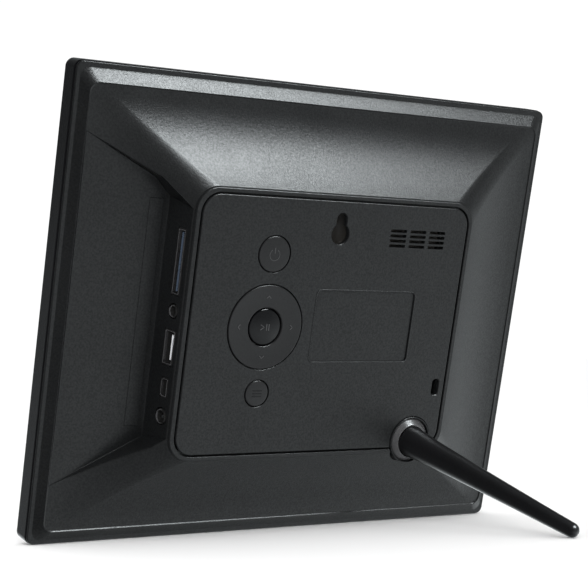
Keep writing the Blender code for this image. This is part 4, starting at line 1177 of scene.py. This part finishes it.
def make_boss(material, place):
    """Socket boss with a rounded bead, on a plate behind the cover and round a shaft for the leg."""
    r = SOCKET_RADIUS
    level = DEPTH - COVER_THICKNESS - GAP - LEDGE_THICKNESS - GAP
    foot, recess = level - BOSS_FOOT, DEPTH - BOSS_RECESS
    profile = [(0, foot), (r, foot)] + arc(r - BEAD_RADIUS, DEPTH + 0.1, BEAD_RADIUS, 0, 180, 8)
    profile += [(r - 2 * BEAD_RADIUS, recess), (0, recess)]
    boss = build("socket_boss", turned(profile, 96, SOCKET), material)
    flange = rounded_outline(SOCKET_PLATE, 4.0, 8)
    carve(boss, plate(flange, level - SOCKET_PLATE_THICKNESS, level), "UNION")
    carve(boss, drum(*STEM_SHAFT, steps=48, along_y=False), "UNION", place)
    bore, end, seat = SOCKET_BORE
    hollow = [(0, end), (bore, end), (bore, seat), (LEG_SEAT, seat), (LEG_SEAT, 8), (0, 8)]
    carve(boss, turned(hollow, 48, along_y=False), place=place)
    holes = [drum(SCREW_PILOT, level - 4, level + 1, at, 16) for at in SOCKET_SCREWS]
    carve(boss, several(holes))
    even_normals(boss)
    settle(boss, "casing", "housing_plastic", "leg_socket")


def make_cone(material, place):
    """Satin cone that rises from the boss to the leg."""
    outer = SOCKET_RADIUS - CONE_EDGE
    profile = [
        (0, DEPTH - 0.9), (outer - 0.1, DEPTH - 0.9), (outer, DEPTH - 0.8), (outer, DEPTH - 0.3),
        (outer - 0.25, DEPTH - 0.02), (LEG_SEAT + 0.6, DEPTH + 1.55), (LEG_SEAT + 0.3, DEPTH + 1.68),
        (LEG_SEAT, DEPTH + 1.6), (0, DEPTH + 1.6),
    ]
    cone = build("ferrule_cone", turned(profile, 128, SOCKET), material)
    carve(cone, drum(LEG_SEAT, -8, 8, steps=96, along_y=False), place=place)
    even_normals(cone)
    settle(cone, "casing", "satin_metal", "leg_ferrule")


def make_socket(materials):
    place = leg_matrix()
    make_boss(materials["housing_plastic"], place)
    make_cone(materials["satin_metal"], place)


# Floor, light and camera


def make_stage():
    made, tree, shader = new_material("floor_paper")
    shader.inputs["Roughness"].default_value = 1.0
    shader.inputs["Specular IOR Level"].default_value = 0.0
    tint = blend_colours(tree, noise(tree, 6.0, 2.0), (0.93, 0.93, 0.93), (0.94, 0.94, 0.94))
    tree.links.new(tint, shader.inputs["Base Color"])
    shape = bmesh.new()
    bmesh.ops.create_grid(shape, x_segments=1, y_segments=1, size=FLOOR_SIZE)
    mesh = bpy.data.meshes.new("floor")
    shape.to_mesh(mesh)
    shape.free()
    mesh.materials.append(made)
    floor = bpy.data.objects.new("floor", mesh)
    bpy.context.collection.objects.link(floor)
    floor.location.z = -FLOOR_DROP
    floor.visible_glossy = False


def area_light(name, location, target, size, power):
    light = bpy.data.lights.new(name, "AREA")
    light.shape = "RECTANGLE"
    light.size, light.size_y = size
    light.energy = power
    lamp = bpy.data.objects.new(name, light)
    bpy.context.collection.objects.link(lamp)
    lamp.location = location
    lamp.visible_camera = False
    aim = Vector(target) - Vector(location)
    lamp.rotation_euler = aim.to_track_quat("-Z", "Y").to_euler()
    return lamp


def wall_sheen(tree):
    """What glossy faces see of the studio: lightest low down past the display, dark overhead and on +X."""
    coords = tree.nodes.new("ShaderNodeTexCoord")
    split = tree.nodes.new("ShaderNodeSeparateXYZ")
    tree.links.new(coords.outputs["Generated"], split.inputs["Vector"])
    total = None
    for axis, start, end, low, high in (
        ("X", -1.0, -0.6, 2.1, 1.0), ("X", -0.5, 0.6, 0.9, 0.1),
        ("Y", -0.85, -0.36, 8.0, 1.0), ("Y", -0.36, -0.12, 0.32, 1.0),
        ("Z", -0.8, -0.45, 0.45, 1.0), ("Z", -0.5, -0.2, 1.3, 0.5), ("Z", -0.12, 0.18, 1.0, 0.25),
    ):
        share = ramp(tree, split.outputs[axis], start, end, low, high)
        if total is None:
            total = share
            continue
        product = tree.nodes.new("ShaderNodeMath")
        product.operation = "MULTIPLY"
        tree.links.new(total, product.inputs[0])
        tree.links.new(share, product.inputs[1])
        total = product.outputs["Value"]
    return total


def make_light():
    """A white studio whose walls light the frame evenly, a cool softbox and a fill light."""
    sky = bpy.data.worlds.new("studio")
    bpy.context.scene.world = sky
    sky.use_nodes = True
    tree = sky.node_tree
    walls = tree.nodes["Background"]
    walls.inputs["Color"].default_value = (1, 1, 1, 1)
    walls.inputs["Strength"].default_value = 1.08
    sheen = tree.nodes.new("ShaderNodeBackground")
    sheen.inputs["Color"].default_value = (*COOL, 1)
    tree.links.new(wall_sheen(tree), sheen.inputs["Strength"])
    path = tree.nodes.new("ShaderNodeLightPath")
    join = tree.nodes.new("ShaderNodeMixShader")
    tree.links.new(path.outputs["Is Glossy Ray"], join.inputs["Fac"])
    tree.links.new(walls.outputs["Background"], join.inputs[1])
    tree.links.new(sheen.outputs["Background"], join.inputs[2])
    tree.links.new(join.outputs["Shader"], tree.nodes["World Output"].inputs["Surface"])
    softbox = area_light("softbox", (-0.47, 0.85, 0.90), (0.03, 0, 0.16), (0.52, 0.46), 21)
    softbox.data.color = COOL
    softbox.visible_diffuse = False
    fill = area_light("fill", (0.8, 1.0, 0.7), (0, 0.05, 0), (1.0, 1.0), 13)
    fill.visible_glossy = False


def make_camera():
    data = bpy.data.cameras.new("camera")
    data.lens = 97.4
    data.sensor_width = 36.0
    data.shift_y = 0.0442
    data.clip_end = 60.0
    camera = bpy.data.objects.new("camera", data)
    bpy.context.collection.objects.link(camera)
    camera.location = (0.354, 0.5045, 0.0709)
    forward = Vector((-0.5526, -0.8332, 0.0216))
    camera.rotation_euler = forward.to_track_quat("-Z", "Y").to_euler()
    bpy.context.scene.camera = camera
    bpy.context.scene.view_settings.view_transform = "Standard"


def make_materials():
    """One material per slot: name, colour, roughness, then a plastic's grain, bump, gloss and so on."""
    plastics = {
        "housing_plastic": ("housing_satin", (0.0062, 0.0066, 0.007), 0.31, 1800, 0.95, 0.4, 0.02, 0.2),
        "bezel_plastic": ("bezel_gloss", (0.003, 0.003, 0.0035), 0.2, 900, 0.02, 0.4),
        "key_plastic": ("key_satin", (0.007, 0.007, 0.0075), 0.3, 1800, 0.6, 0.4),
        "gloss_key_plastic": ("key_gloss", (0.002, 0.002, 0.0024), 0.12, 900, 0.03, 0.3),
        "mark_plastic": ("raised_mark", (0.05, 0.05, 0.052), 0.4, 1200, 0.1, 0.4),
        "leg_plastic": ("leg_satin", (0.004, 0.004, 0.0046), 0.3, 2200, 0.15, 0.65),
        "dark_plastic": ("socket_black", (0.012, 0.012, 0.012), 0.5, 1500, 0.2),
        # The keyhole bowl's grey-brown tint is its own; its lightness over the socket black is painted
        # reflection.
        "cup_plastic": ("cup_grey_painted_reflection", (0.024, 0.022, 0.019), 0.4, 1200, 0.3),
        "chip_epoxy": ("epoxy_black", (0.015, 0.015, 0.016), 0.6, 2500, 0.4),
        "tongue_white": ("tongue_white", (0.7, 0.71, 0.73), 0.45, 1200, 0.05),
        "diffuser_white": ("diffuser_white", (0.78, 0.78, 0.76), 0.55, 900, 0.05),
        "ribbon_film": ("ribbon_film", (0.7, 0.66, 0.55), 0.4, 400, 0.05),
        "circuit_board": ("solder_resist", (0.012, 0.1, 0.045), 0.35, 700, 0.15),
        "speaker_paper": ("speaker_paper", (0.03, 0.027, 0.024), 0.8, 900, 0.6),
        "spring_rubber": ("silicone_grey", (0.22, 0.23, 0.24), 0.6, 900, 0.15),
        "panel_glass": ("lcd_surface", (0.006, 0.006, 0.008), 0.12, 4000, 0.03),
        # The port rims' light grey is a painted highlight, standing in for light caught by the ports'
        # edges.
        "port_rim": ("rim_painted_highlight", (0.06, 0.06, 0.063), 0.3, 1200, 0.1, 0.7),
        "satin_metal": ("satin_ring", (0.05, 0.05, 0.052), 0.27, 2200, 0.1, 1.0),
    }
    metals = {
        "steel": ("plated_steel", (0.6, 0.61, 0.62), 0.28),
        "card_steel": ("blued_steel", (0.36, 0.45, 0.62), 0.3),
        "capacitor_can": ("aluminium_can", (0.62, 0.62, 0.64), 0.35),
        "brass": ("turned_brass", (0.74, 0.55, 0.26), 0.28),
    }
    made = {slot: moulded_plastic(*look) for slot, look in plastics.items()}
    made.update({slot: metal(*look) for slot, look in metals.items()})
    return made


def dress_cad_nodes(materials):
    """The CAD parts that stay take their detailed material by the record's slot."""
    for row in frame["record"]["subparts"]:
        part = frame["nodes"][row["node"]]
        if not part.material_slots:
            part.data.materials.append(None)
        part.material_slots[0].material = materials[row["material_slot"]]


def main():
    materials = make_materials()
    make_camera()
    dress_cad_nodes(materials)
    make_bezel(materials["bezel_plastic"])
    make_housing(materials["housing_plastic"])
    make_ports(materials)
    make_cover(materials["housing_plastic"])
    make_keys(materials)
    make_marks(materials["mark_plastic"], materials["gloss_key_plastic"])
    make_cup(materials["cup_plastic"])
    make_socket(materials)
    make_leg(materials)
    make_stage()
    make_light()


main()
